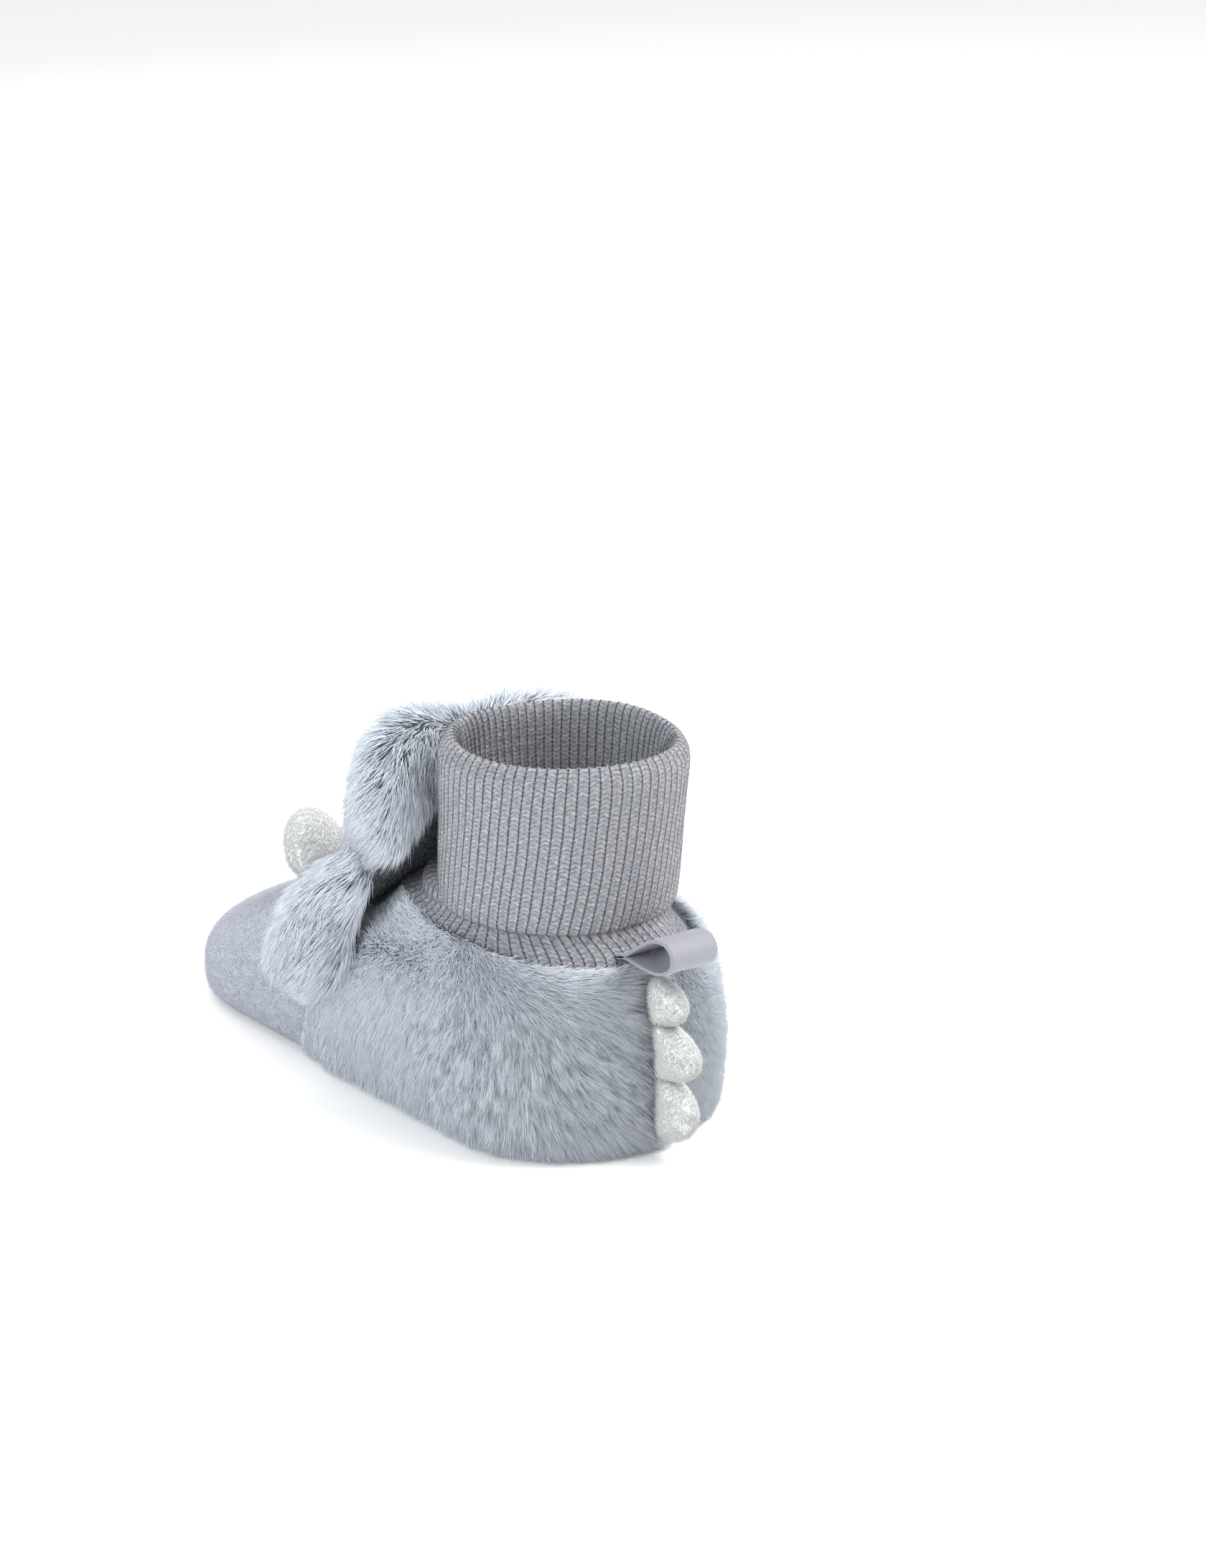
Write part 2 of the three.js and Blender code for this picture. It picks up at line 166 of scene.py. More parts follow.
def objectNoise(tree, scale, detail):
    place = addNode(tree, "TexCoord").outputs["Object"]
    texture = addNode(tree, "TexNoise", {"Scale": scale, "Detail": detail})
    tree.links.new(place, texture.inputs["Vector"])
    return texture.outputs["Fac"]


def mapPlace(tree, mapName):
    uv = addNode(tree, "UVMap", uv_map=mapName).outputs["UV"]
    split = addNode(tree, "SeparateXYZ")
    tree.links.new(uv, split.inputs["Vector"])
    return uv, split.outputs["X"], split.outputs["Y"]


def pileMaterial(name, alongStops, toneStops, roughness, sheen):
    # the strand's map holds its tone across and runs upward from its root to its tip
    material, tree, shader = newMaterial(name, roughness, sheen, 0.25)
    _, across, upward = mapPlace(tree, "OFBake")
    along = addRamp(tree, upward, alongStops)
    tone = addRamp(tree, across, toneStops)
    tree.links.new(multiplyColours(tree, along, tone), shader.inputs["Base Color"])
    return material


def clothMaterial(name, low, high, scale, sheen=0.0, bump=0.3, depth=0.2):
    material, tree, shader = newMaterial(name, sheen=sheen)
    grain = objectNoise(tree, scale, 4.0)
    tree.links.new(addRamp(tree, grain, [(0.3, low), (0.7, high)]), shader.inputs["Base Color"])
    addBump(tree, shader, grain, bump, depth)
    return material


def furMaterial(name):
    alongStops = [(0.0, (0.50, 0.535, 0.59)), (0.45, (0.70, 0.74, 0.80)), (1.0, (0.86, 0.90, 0.97))]
    toneStops = [
        (0.0, (0.20, 0.22, 0.24)),
        (0.3, (0.66, 0.70, 0.73)),
        (0.5, (0.9, 0.92, 0.94)),
        (1.0, (1, 1, 1)),
    ]
    return pileMaterial(name, alongStops, toneStops, 0.7, 0.15)


def plushMaterial(name, root, tip, darkest, roughness, sheen):
    return pileMaterial(name, [(0.0, root), (1.0, tip)], [(0.0, darkest), (1.0, (1, 1, 1))], roughness, sheen)


def whitePileMaterial(name):
    return plushMaterial(name, (0.64, 0.65, 0.65), (0.70, 0.715, 0.715), (0.93, 0.93, 0.93), 0.9, 0.1)


def toePileMaterial(name):
    return plushMaterial(name, (0.39, 0.41, 0.47), (0.47, 0.495, 0.565), (0.90, 0.91, 0.92), 0.8, 0.2)


materials = {
    "furPile": furMaterial("fur pile"),
    # the fur backing's colour is partly the fabric's own and partly painted shade, made very dark so that it
    # shows black where the pile is cut short in the hollows
    "furBacking": clothMaterial("fur backing", (0.09, 0.10, 0.12), (0.16, 0.175, 0.20), 900),
    "whitePile": whitePileMaterial("white plush pile"),
    "whiteBacking": clothMaterial("white plush backing", (0.74, 0.75, 0.74), (0.80, 0.81, 0.80), 700),
    "toePile": toePileMaterial("toe plush pile"),
    "toeBacking": clothMaterial("toe plush backing", (0.36, 0.38, 0.43), (0.42, 0.44, 0.50), 500, sheen=0.2),
    "lining": clothMaterial("brushed lining", (0.62, 0.61, 0.58), (0.76, 0.75, 0.72), 1200),
    "wadding": clothMaterial("wadding", (0.80, 0.80, 0.78), (0.92, 0.92, 0.90), 500, bump=0.8, depth=0.6),
    "sole": clothMaterial("suede sole", (0.26, 0.27, 0.31), (0.36, 0.37, 0.42), 1500, bump=0.5, depth=0.15),
}


def dressPiece(piece, material, nodes):
    addToScene(piece)
    piece.data.materials.clear()
    piece.data.materials.append(material)
    if nodes:
        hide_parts(*nodes)


def newPiece(name, mesh, material, body, slot, *nodes):
    piece = bpy.data.objects.new(name, mesh)
    dressPiece(piece, material, nodes)
    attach(piece, body)
    return piece


def meshPoints(mesh):
    points = np.empty(len(mesh.vertices) * 3)
    mesh.vertices.foreach_get("co", points)
    return points.reshape(-1, 3) / mm


def meshNormals(mesh):
    normals = np.empty(len(mesh.vertices) * 3)
    mesh.vertex_normals.foreach_get("vector", normals)
    return normals.reshape(-1, 3)


def toMesh(bm, mesh):
    bm.to_mesh(mesh)
    bm.free()
    return mesh


def gridMesh(name, columns, rows, placeAt):
    # a flat grid whose points are moved onto a surface, given as a function of two arrays from 0 to 1
    bm = bmesh.new()
    bm.loops.layers.uv.new("OFBake")
    bmesh.ops.create_grid(bm, x_segments=columns, y_segments=rows, size=0.5, calc_uvs=True)
    mesh = toMesh(bm, bpy.data.meshes.new(name))
    flat = meshPoints(mesh) * mm + 0.5
    mesh.vertices.foreach_set("co", (placeAt(flat[:, 0], flat[:, 1]) * mm).ravel())
    mesh.shade_smooth()
    return mesh, flat


def turnOut(mesh, directions):
    if np.sum(meshNormals(mesh) * directions) < 0:
        mesh.flip_normals()


def cleanMesh(mesh, fillEnds=False):
    # joins the points that lie together along a seam, and closes the open ends if asked to
    together = 0.002 * mm
    bm = bmesh.new()
    bm.from_mesh(mesh)
    bmesh.ops.remove_doubles(bm, verts=bm.verts, dist=together)
    if fillEnds:
        bmesh.ops.holes_fill(bm, edges=[edge for edge in bm.edges if edge.is_boundary], sides=0)
    else:
        bmesh.ops.dissolve_degenerate(bm, edges=bm.edges, dist=together / 2)
    bmesh.ops.recalc_face_normals(bm, faces=bm.faces)
    toMesh(bm, mesh)


def smoothStep(low, high, value):
    t = np.clip((value - low) / (high - low), 0, 1)
    return t * t * (3 - 2 * t)


def blendTo(first, second, share):
    return first + (second - first) * share


def fade(settings, value):
    # an amount that comes in between two values
    amount, start, full = settings
    return amount * smoothStep(start, full, value)


def splinePoint(p0, p1, p2, p3, t):
    # the point a share t of the way from p1 to p2 on a Catmull-Rom curve
    curve = 2 * p1 + (p2 - p0) * t + (2 * p0 - 5 * p1 + 4 * p2 - p3) * t * t
    return 0.5 * (curve + (3 * p1 - p0 - 3 * p2 + p3) * t**3)


def unit(vectors):
    return vectors / np.maximum(np.linalg.norm(vectors, axis=-1, keepdims=True), 1e-9)


# the shoe's wall is a Bezier curve at each angle, from the sole's edge up to the collar: lowRise and
# highFall place its two inner points above the sole and below the collar, each with its own share more
# over the instep, and furRise is the curve's steepness at the collar
shoe = {
    "toeEnd": -72.0,
    "heelEnd": 72.5,
    "ankleY": 43.5,
    "halfWidth": 29.5,
    "waist": 0.06,
    "toeRounding": 33.0,
    "toeFullness": 2.1,
    "heelRounding": 27.0,
    "heelFullness": 2.5,
    "collarRadius": 27.0,
    "collarFrontReach": 33.0,
    "collarHeights": (39.0, 43.0, 46.5),
    "frontDip": 5.5,
    "farDip": 6.5,
    "bulge": 5.0,
    "heelTuck": 2.5,
    "instepReach": 85,
    "instepFlatness": 0.6,
    "lowRise": (17, 3),
    "highFall": (9, 17),
    "furRise": (27, 51),
    "bottom": 1.9,
    "seamFoot": -13.0,
    "seamLean": 0.38,
}


def soleWidthAt(y):
    waist = 1 - fade((shoe["waist"], -30, 40), y)
    toe = np.clip((y - shoe["toeEnd"]) / shoe["toeRounding"], 0, 1)
    heel = np.clip((shoe["heelEnd"] - y) / shoe["heelRounding"], 0, 1)
    toeCurve = np.sqrt(1 - (1 - toe) ** shoe["toeFullness"])
    heelCurve = np.sqrt(1 - (1 - heel) ** shoe["heelFullness"])
    return shoe["halfWidth"] * waist * toeCurve * heelCurve


def soleEdge(angle):
    rear = shoe["heelEnd"] - shoe["ankleY"]
    front = shoe["ankleY"] - shoe["toeEnd"]
    y = shoe["ankleY"] + np.where(np.cos(angle) > 0, rear, front) * np.cos(angle)
    side = np.where(np.sin(angle) < 0, -1, 1)
    return np.stack([side * soleWidthAt(y), y, np.full_like(y, shoe["bottom"])], -1)


def frontShare(angle):
    # 0 at the heel, 1 at the front of the ankle
    return (1 - np.cos(angle)) / 2


def collarHeightAt(angle):
    heel, side, front = shoe["collarHeights"]
    share = frontShare(angle)
    rear = blendTo(heel, side, smoothStep(0, 0.5, share))
    return blendTo(rear, front, smoothStep(0.5, 1, share))


def collarDip(angle):
    # how far the fur's top edge hangs below the seam line, most at the front and on the far side
    front = fade((shoe["frontDip"], 0.5, 0.92), frontShare(angle))
    return front + fade((shoe["farDip"], 0.1, 0.75), -np.sin(angle))


def collarEdge(angle):
    reach = np.where(np.cos(angle) > 0, shoe["collarRadius"], shoe["collarFrontReach"])
    x = shoe["collarRadius"] * np.sin(angle)
    return np.stack([x, shoe["ankleY"] + reach * np.cos(angle), collarHeightAt(angle)], -1)


def soleOutward(angle):
    along = soleEdge(angle + 0.01) - soleEdge(angle - 0.01)
    return unit(np.stack([-along[..., 1], along[..., 0], np.zeros_like(angle)], -1))


def bodySurface(angle, rise):
    start = soleEdge(angle)
    end = collarEdge(angle)
    flat = np.hypot(end[..., 0] - start[..., 0], end[..., 1] - start[..., 1])
    instep = smoothStep(0, shoe["instepReach"], flat)
    heel = np.maximum(0, np.cos(angle))
    lowRise, lowMore = shoe["lowRise"]
    highFall, highMore = shoe["highFall"]
    low = start + soleOutward(angle) * (shoe["bulge"] - shoe["heelTuck"] * heel)[..., None]
    low[..., 2] += lowRise + lowMore * instep
    high = blendTo(end, start, (shoe["instepFlatness"] * instep)[..., None])
    high[..., 2] = end[..., 2] - highFall - highMore * instep
    t = rise[..., None]
    return start * (1 - t) ** 3 + 3 * low * t * (1 - t) ** 2 + 3 * high * t * t * (1 - t) + end * t**3


def bodyPoint(angle, rise, out=0.0):
    # a point of the shoe's wall, moved out of it along its normal
    step = 0.004
    point = bodySurface(angle, rise)
    up = bodySurface(angle, np.minimum(1, rise + step)) - bodySurface(angle, np.maximum(0, rise - step))
    around = bodySurface(angle + step, rise) - bodySurface(angle - step, rise)
    outward = unit(np.cross(up, around))
    return point + outward * np.asarray(out)[..., None]


def furTop(angle, below=0.0):
    # the share of the body's height where the fur, or a layer ending below it, stops
    rise, more = shoe["furRise"]
    rising = rise + fade((more, 0.3, 1), frontShare(angle))
    return 1 - (collarDip(angle) + below) / rising


def noiseAt(points, size, seed=0.0):
    return np.array([noise.noise(Vector(p) / size + Vector((seed, seed, seed))) for p in points])


def scatter(mesh, count):
    # random places on a mesh by area, with the values of its points carried along
    mesh.calc_loop_triangles()
    corners = np.empty(len(mesh.loop_triangles) * 3, np.int64)
    mesh.loop_triangles.foreach_get("vertices", corners)
    corners = corners.reshape(-1, 3)
    points = meshPoints(mesh)
    a, b, c = (points[corners[:, i]] for i in range(3))
    area = np.linalg.norm(np.cross(b - a, c - a), axis=1)
    pick = rng.choice(len(area), count, p=area / area.sum())
    u, v = rng.random(count), rng.random(count)
    flip = u + v > 1
    u[flip], v[flip] = 1 - u[flip], 1 - v[flip]
    shares = np.stack([1 - u - v, u, v], 1)
    chosen = corners[pick]

    def carry(values):
        return np.einsum("ij,ij...->i...", shares, values[chosen])

    return carry


def pileMesh(name, roots, middles, tips, widths, tones):
    # a thin closed spike for each strand: three points round its root and a tip, or a root, three
    # points round its middle and a tip where it bends; across and upward are its points' places on
    # the map, its tone and its share of the way from root to tip
    count = len(roots)
    axis = unit(tips - roots)
    side = unit(np.cross(axis, rng.normal(size=(count, 3))))
    other = np.cross(axis, side)
    bent = middles is not None
    centre = middles if bent else roots
    thirds = (0, 2.094, 4.189)
    ring = [centre + (side * math.cos(t) + other * math.sin(t)) * widths[:, None] for t in thirds]
    if bent:
        points = np.stack([roots, *ring, tips], 1)
        faces = np.array([(0, 2, 1), (0, 3, 2), (0, 1, 3), (4, 1, 2), (4, 2, 3), (4, 3, 1)])
        across = np.array([0, -0.006, 0, 0.006, 0])
        upward = np.array([0.02, 0.42, 0.44, 0.46, 0.98])
    else:
        points = np.stack([*ring, tips], 1)
        faces = np.array([(0, 2, 1), (3, 0, 1), (3, 1, 2), (3, 2, 0)])
        across = np.array([-0.006, 0, 0.006, 0])
        upward = np.array([0.02, 0.04, 0.06, 0.98])
    size = points.shape[1]
    corners = (faces[None] + np.arange(count)[:, None, None] * size).reshape(-1)
    mesh = bpy.data.meshes.new(name)
    mesh.vertices.add(count * size)
    mesh.loops.add(len(corners))
    mesh.polygons.add(len(corners) // 3)
    mesh.vertices.foreach_set("co", points.ravel() * mm)
    mesh.loops.foreach_set("vertex_index", corners)
    mesh.polygons.foreach_set("loop_start", np.arange(len(corners) // 3) * 3)
    mesh.update(calc_edges=True)
    u = np.clip(tones[:, None] * 0.94 + 0.03 + across, 0, 1).reshape(-1)[corners]
    v = np.tile(upward, count)[corners]
    uv = mesh.uv_layers.new(name="OFBake")
    uv.data.foreach_set("uv", np.stack([u, v], 1).ravel())
    mesh.shade_smooth()
    return mesh


# what every pile has in common; swirl and wisp are slow and quick changes across the cloth, a dash is
# a short dark opening at the tips, and painted shade darkens the tone where the pile is so short that it sits
# in a crease or hollow
strand = {
    "rootDepth": 0.3,
    "middleAt": 0.45,
    "lengthWisp": 0.2,
    "liftWisp": 0.8,
    "liftLimits": (0.05, 1.5),
    "uprightLift": 1.35,
    "lowest": 0.25,
    "lowestSpread": 0.5,
    "tone": 0.68,
    "toneSpread": 0.16,
    "toneWisp": 0.45,
    "toneSwirl": 0.2,
    "toneLimits": (0.2, 1),
    "dashStretch": (1.0, 1.0, 0.6),
    "dashGrain": 0.04,
    "dash": (0.9, 0.08, 0.24),
    "foldTone": 0.05,
    "fold": (0.95, 0.08, 0.3),
    "thin": 0.75,
    "thinSpread": 0.5,
}


def growPile(name, skin, comb, pile, lengths=None, rough=None, upright=None):
    # comb is the way the pile is brushed at each point of the skin, rough is how tufted it is, and
    # upright is how straight it stands
    count = pile["strands"]
    carry = scatter(skin, count)
    roots = carry(meshPoints(skin))
    normals = unit(carry(meshNormals(skin)))
    tufted = np.full(count, pile["mottle"]) if rough is None else carry(rough)
    brushed = unit(carry(comb))
    swirl = noiseAt(roots, pile["swirlSize"])
    wisp = noiseAt(roots, pile["wispSize"], 11.3)
    brushed = brushed + np.cross(normals, brushed) * (swirl * pile["swirl"])[:, None]
    brushed = brushed + rng.normal(size=(count, 3)) * pile["stray"]
    brushed = unit(brushed - normals * np.sum(brushed * normals, 1)[:, None])
    length = pile["length"] * (1 + rng.normal(size=count) * pile["uneven"])
    length = length * (1 + strand["lengthWisp"] * wisp * pile["mottle"])
    share = np.ones(count) if lengths is None else carry(lengths)
    length = length * share
    lift = pile["lift"] * (1 + strand["liftWisp"] * wisp * tufted)
    lift = np.radians(lift + rng.normal(size=count) * pile["liftSpread"])
    if upright is not None:
        lift = blendTo(lift, strand["uprightLift"], carry(upright))
    lift = np.clip(lift, *strand["liftLimits"])
    first = normals * np.sin(lift)[:, None] + brushed * np.cos(lift)[:, None]
    bent = lift * pile["bend"]
    second = normals * np.sin(bent)[:, None] + brushed * np.cos(bent)[:, None]
    middles = roots + first * (length * strand["middleAt"])[:, None]
    tips = middles + second * (length * (1 - strand["middleAt"]))[:, None]
    for clump, reach, gather in pile["tufts"]:
        middles, tips = gatherTufts(roots, middles, tips, clump, reach, gather * tufted)
    for part in (middles, tips):
        part[:, 2] = np.maximum(part[:, 2], strand["lowest"] + strand["lowestSpread"] * rng.random(count))
    mottling = (strand["toneWisp"] * wisp + strand["toneSwirl"] * swirl) * tufted
    tones = strand["tone"] + strand["toneSpread"] * rng.normal(size=count) + mottling
    tones = np.clip(tones, *strand["toneLimits"])
    dash = noiseAt(tips * np.array(strand["dashStretch"]), pile["dashSize"], 31.7)
    dash = dash + strand["dashGrain"] * rng.normal(size=count)
    tones = tones * (1 - fade(strand["dash"], dash) * np.clip(pile["dark"] * tufted, 0, 1))
    # painted shade: strands cut short in the creases and hollows are darkened nearly to black
    tones = tones * (strand["foldTone"] + fade(strand["fold"], share))
    widths = pile["width"] * (strand["thin"] + strand["thinSpread"] * rng.random(count))
    bentStrands = middles if pile["bend"] < 1 else None
    return pileMesh(name, roots - normals * strand["rootDepth"], bentStrands, tips, widths, tones)


def gatherTufts(roots, middles, tips, clump, reach, gather):
    # pulls the tips of about clump strands together, none further than reach
    centres = rng.choice(len(roots), max(1, len(roots) // clump), replace=False)
    tree = kdtree.KDTree(len(centres))
    for i, centre in enumerate(centres):
        tree.insert(roots[centre], i)
    tree.balance()
    nearest = centres[np.array([tree.find(root)[1] for root in roots])]
    pull = (gather * (0.4 + 0.6 * rng.random(len(roots))))[:, None]
    towards = tips[nearest] - tips
    distance = np.linalg.norm(towards, axis=1, keepdims=True)
    towards = towards * np.minimum(1, reach / np.maximum(distance, 1e-6))
    return middles + towards * pull * 0.35, tips + towards * pull


def tangentOnly(mesh, vectors):
    normals = meshNormals(mesh)
    return unit(vectors - normals * np.sum(vectors * normals, 1)[:, None])


def tangentComb(mesh, direction):
    return tangentOnly(mesh, np.broadcast_to(np.asarray(direction, float), (len(mesh.vertices), 3)))


print("fur side panels")
sidePanel = {"columns": 110, "rows": 44, "thickness": 2.0, "swell": 0.2}
sidePile = {
    "strands": 92000,
    "length": 6.4,
    "width": 0.14,
    "lift": 32,
    "liftSpread": 9,
    "bend": 1.0,
    "uneven": 0.12,
    "stray": 0.2,
    "swirl": 0.4,
    "swirlSize": 14,
    "wispSize": 1.6,
    "mottle": 1.0,
    "tufts": [(45, 1.3, 0.5), (7, 0.4, 0.5)],
    "dark": 0.9,
    "dashSize": 1.15,
}


def cutAtSeam(mesh, keepToe):
    bm = bmesh.new()
    bm.from_mesh(mesh)
    away = Vector((0, 1, -shoe["seamLean"])).normalized()
    everything = bm.verts[:] + bm.edges[:] + bm.faces[:]
    point = Vector((0, shoe["seamFoot"], 0)) * mm
    bmesh.ops.bisect_plane(
        bm, geom=everything, plane_co=point, plane_no=away, clear_outer=keepToe, clear_inner=not keepToe
    )
    toMesh(bm, mesh)
    mesh.shade_smooth()


def addThickness(piece, thickness):
    wall = piece.modifiers.new("wall", "SOLIDIFY")
    wall.thickness = thickness * mm
    wall.offset = -1


def collarDrop(points):
    angle = np.arctan2(points[:, 0], points[:, 1] - shoe["ankleY"])
    return collarHeightAt(angle) - collarDip(angle) - points[:, 2]


# how much shorter and how rough the pile is, each with the distances from the collar or the seam, or
# the places along the shoe, between which it becomes so
sideTrim = {
    "collar": (0.15, 4, 0),
    "rightHeel": (0.45, 48, 66),
    "underFrill": (0.5, 24, 8),
    "underFrillDrop": (9, 3),
    "toeSeam": (0.45, 11, 3),
}
sideRough = {
    "least": 0.12,
    "rear": (0.88, 14, 48),
    "aboveSole": (2, 12),
    "collar": (0.75, 16, 4),
    "rightHeel": (0.7, 50, 66),
}


def sideComb(mesh):
    # brushed back towards the heel, down at the heel, and up over the knit at the collar
    points = meshPoints(mesh)
    outer = np.sign(points[:, 0])
    rear = smoothStep(30, 60, points[:, 1])
    comb = np.stack([-0.9 * outer * smoothStep(62, 73, points[:, 1]), 1 - 0.6 * rear, -0.55 - 0.3 * rear], 1)
    up = np.stack([-0.35 * outer, 1 - 0.3 * rear, np.full_like(outer, 0.15)], 1)
    return tangentOnly(mesh, blendTo(comb, up, smoothStep(20, 0, collarDrop(points))[:, None]))


def sideLengths(points, side):
    drop = collarDrop(points)
    lengths = 1 - fade(sideTrim["collar"], drop)
    if side < 0:
        lengths = lengths - fade(sideTrim["rightHeel"], points[:, 1])
    underFrill = fade(sideTrim["underFrill"], points[:, 1]) * smoothStep(*sideTrim["underFrillDrop"], drop)
    lengths = lengths * (1 - underFrill)
    behindSeam = points[:, 1] - shoe["seamLean"] * points[:, 2] - shoe["seamFoot"]
    return lengths - fade(sideTrim["toeSeam"], behindSeam)


def sideRoughness(points, side):
    aboveSole = smoothStep(*sideRough["aboveSole"], points[:, 2])
    rough = sideRough["least"] + fade(sideRough["rear"], points[:, 1]) * aboveSole
    rough = rough * (1 - fade(sideRough["collar"], collarDrop(points)))
    if side < 0:
        rough = rough * (1 - fade(sideRough["rightHeel"], points[:, 1]))
    return rough


def makeSidePanel(sideName, side):
    def placeAt(u, v):
        angle = side * u * math.pi
        return bodyPoint(angle, v * furTop(angle), sidePanel["swell"])

    mesh, _ = gridMesh("fur panel " + sideName, sidePanel["columns"], sidePanel["rows"], placeAt)
    cutAtSeam(mesh, False)
    turnOut(mesh, (side, 0, 0))
    points = meshPoints(mesh)
    lengths = sideLengths(points, side)
    rough = sideRoughness(points, side)
    for part in ("under", "over"):
        pile = dict(sidePile, strands=sidePile["strands"] // 2)
        pileData = growPile("fur pile", mesh, sideComb(mesh), pile, lengths, rough)
        newPiece("furPile_" + sideName + "_" + part, pileData, materials["furPile"], "shoe", "fur")
    node = "upper_" + sideName
    skin = newPiece("furPanel_" + sideName, mesh, materials["furBacking"], "shoe", "fur", node)
    addThickness(skin, sidePanel["thickness"])


for sideName, side in bothSides:
    makeSidePanel(sideName, side)


lining = {"inset": 2.4, "belowCollar": 2.5, "thickness": 0.7, "columns": 120, "rows": 40}


def makeLining():
    def placeAt(u, v):
        angle = u * 2 * math.pi
        return bodyPoint(angle, v * furTop(angle, lining["belowCollar"]), -lining["inset"])

    mesh, _ = gridMesh("lining", lining["columns"], lining["rows"], placeAt)
    cleanMesh(mesh)
    skin = newPiece("liningSock", mesh, materials["lining"], "shoe", "lining", "lining")
    addThickness(skin, lining["thickness"])


makeLining()


print("toe panel")
toePanel = {"columns": 130, "rows": 70, "thickness": 1.6, "swell": 0.5, "tipInset": 1.6}
toePile = dict(
    sidePile,
    strands=49000,
    length=0.85,
    width=0.085,
    lift=72,
    liftSpread=6,
    stray=0.12,
    swirl=0.1,
    swirlSize=10,
    wispSize=3.0,
    mottle=0.15,
    tufts=[],
    dark=0.0,
)


def makeToePanel():
    def placeAt(u, v):
        angle = blendTo(0.5, 1.5, u) * math.pi
        near = bodySurface(angle, v)
        tip = smoothStep(-45, -72, near[:, 1])
        return bodyPoint(angle, v, toePanel["swell"] - toePanel["tipInset"] * tip)

    mesh, _ = gridMesh("toe panel", toePanel["columns"], toePanel["rows"], placeAt)
    cutAtSeam(mesh, True)
    turnOut(mesh, (0, 0, 1))
    pileData = growPile("toe pile", mesh, tangentComb(mesh, (0, -1, -0.4)), toePile)
    newPiece("toePile", pileData, materials["toePile"], "shoe", "velboa")
    skin = newPiece("toePanel", mesh, materials["toeBacking"], "shoe", "velboa", "toe_cap")
    addThickness(skin, toePanel["thickness"])


makeToePanel()


print("frill")
frill = {
    "half": 8.4,
    "startAngle": 119.0,
    "rootInside": 0.5,
    "columns": 190,
    "rows": 30,
    "fabric": 0.8,
    "farDroop": 1.8,
    "fillingInset": 2.2,
    "fillingEnds": 0.07,
    "undercutTop": 68,
    "undercutFade": 9,
    "undercutSlope": 0.75,
    "notchAt": 0.47,
    "notchWidth": 0.05,
    "notchDepth": 0.28,
    "seamWidth": 0.3,
    "lean": 7,
    "sweep": 8,
}
frillOutline = [
    (33.5, 18.0),
    (37.0, 20.5),
    (40.3, 28.0),
    (38.6, 38.0),
    (34.6, 47.5),
    (30.0, 55.0),
    (30.4, 63.0),
    (28.6, 70.5),
    (23.2, 76.4),
    (14.6, 78.0),
    (6.0, 75.8),
    (0.0, 74.8),
]
# how far the edge seam is turned to the back, and how deep it is drawn in, along the outline
seamPlaces = [0.0, 0.17, 0.29, 0.40, 0.48, 0.57, 0.66, 0.75, 0.84, 1.0]
seamTurns = [70, 70, 60, 25, 8, 14, 28, 62, 75, 75]
seamDepths = [0.2, 0.4, 1.3, 0.1, 1.6, 0.0, 0.0, 0.7, 0.1, 0.1]
frillPile = dict(
    sidePile,
    strands=68000,
    length=7.2,
    width=0.1,
    lift=32,
    bend=0.35,
    swirlSize=9,
    wispSize=2.2,
    mottle=0.5,
    tufts=[(40, 1.2, 0.34), (7, 0.45, 0.4)],
    dark=0.4,
)
# the way the pile falls, and where it is shorter or stands up
frillFall = {"outward": 0.6, "parting": 6, "forward": 0.25, "middleMore": 0.6, "middleWidth": 12, "down": 0.8}
frillTrim = {
    "awayFromSeam": (0.8, 0.3, 0.8),
    "frontRoot": (0.3, 0.7, 0.95),
    "backRoot": (0.65, 0.7, 0.95),
    "foot": (0.45, 27, 17),
    "undercut": (0.88, 0.1, 0.75),
    "upright": (0.25, 0.15, 0.0),
}


def smoothLine(controls, share):
    # a Catmull-Rom line through the control points, read at the given shares of its length
    controls = np.array(controls, float)
    padded = np.vstack([2 * controls[0] - controls[1], controls, 2 * controls[-1] - controls[-2]])
    fine = []
    for i in range(len(controls) - 1):
        p0, p1, p2, p3 = padded[i : i + 4]
        for t in np.linspace(0, 1, 24, endpoint=False):
            fine.append(splinePoint(p0, p1, p2, p3, t))
    fine = np.vstack([fine, controls[-1]])
    length = np.concatenate([[0], np.cumsum(np.linalg.norm(np.diff(fine, axis=0), axis=1))])
    place = np.asarray(share) * length[-1]
    return np.stack([np.interp(place, length, fine[:, i]) for i in range(fine.shape[1])], -1)


def seamPoint(angle):
    low, high = np.zeros_like(angle), np.ones_like(angle)
    for _ in range(24):
        middle = (low + high) / 2
        point = bodySurface(angle, middle)
        before = point[..., 1] - shoe["seamFoot"] < point[..., 2] * shoe["seamLean"]
        low = np.where(before, middle, low)
        high = np.where(before, high, middle)
    return bodySurface(angle, low)


def frillDepth(x, z):
    leaning = shoe["seamFoot"] + 1.5 + shoe["seamLean"] * z
    blend = smoothStep(38, 60, z)
    return blendTo(np.minimum(leaning, 10), frill["lean"], blend) + frill["sweep"] * (x / 28) ** 2 * blend


def undercutAt(x, z):
    # the back is hollow below the upper lobes, beside the instep
    top = frill["undercutTop"] - frill["undercutSlope"] * np.maximum(0, np.abs(x) - 14)
    return smoothStep(top, top - frill["undercutFade"], z) * smoothStep(33, 27, np.abs(x))


def frillHalfAt(share):
    # thickest in the lobes, drawn in at the notches between them and closed at both ends
    end = np.sqrt(np.sin(np.pi * np.minimum(0.5, share * 3.0)))
    notch = np.exp(-(((share - frill["notchAt"]) / frill["notchWidth"]) ** 2))
    return frill["half"] * end * (1 - frill["notchDepth"] * notch)


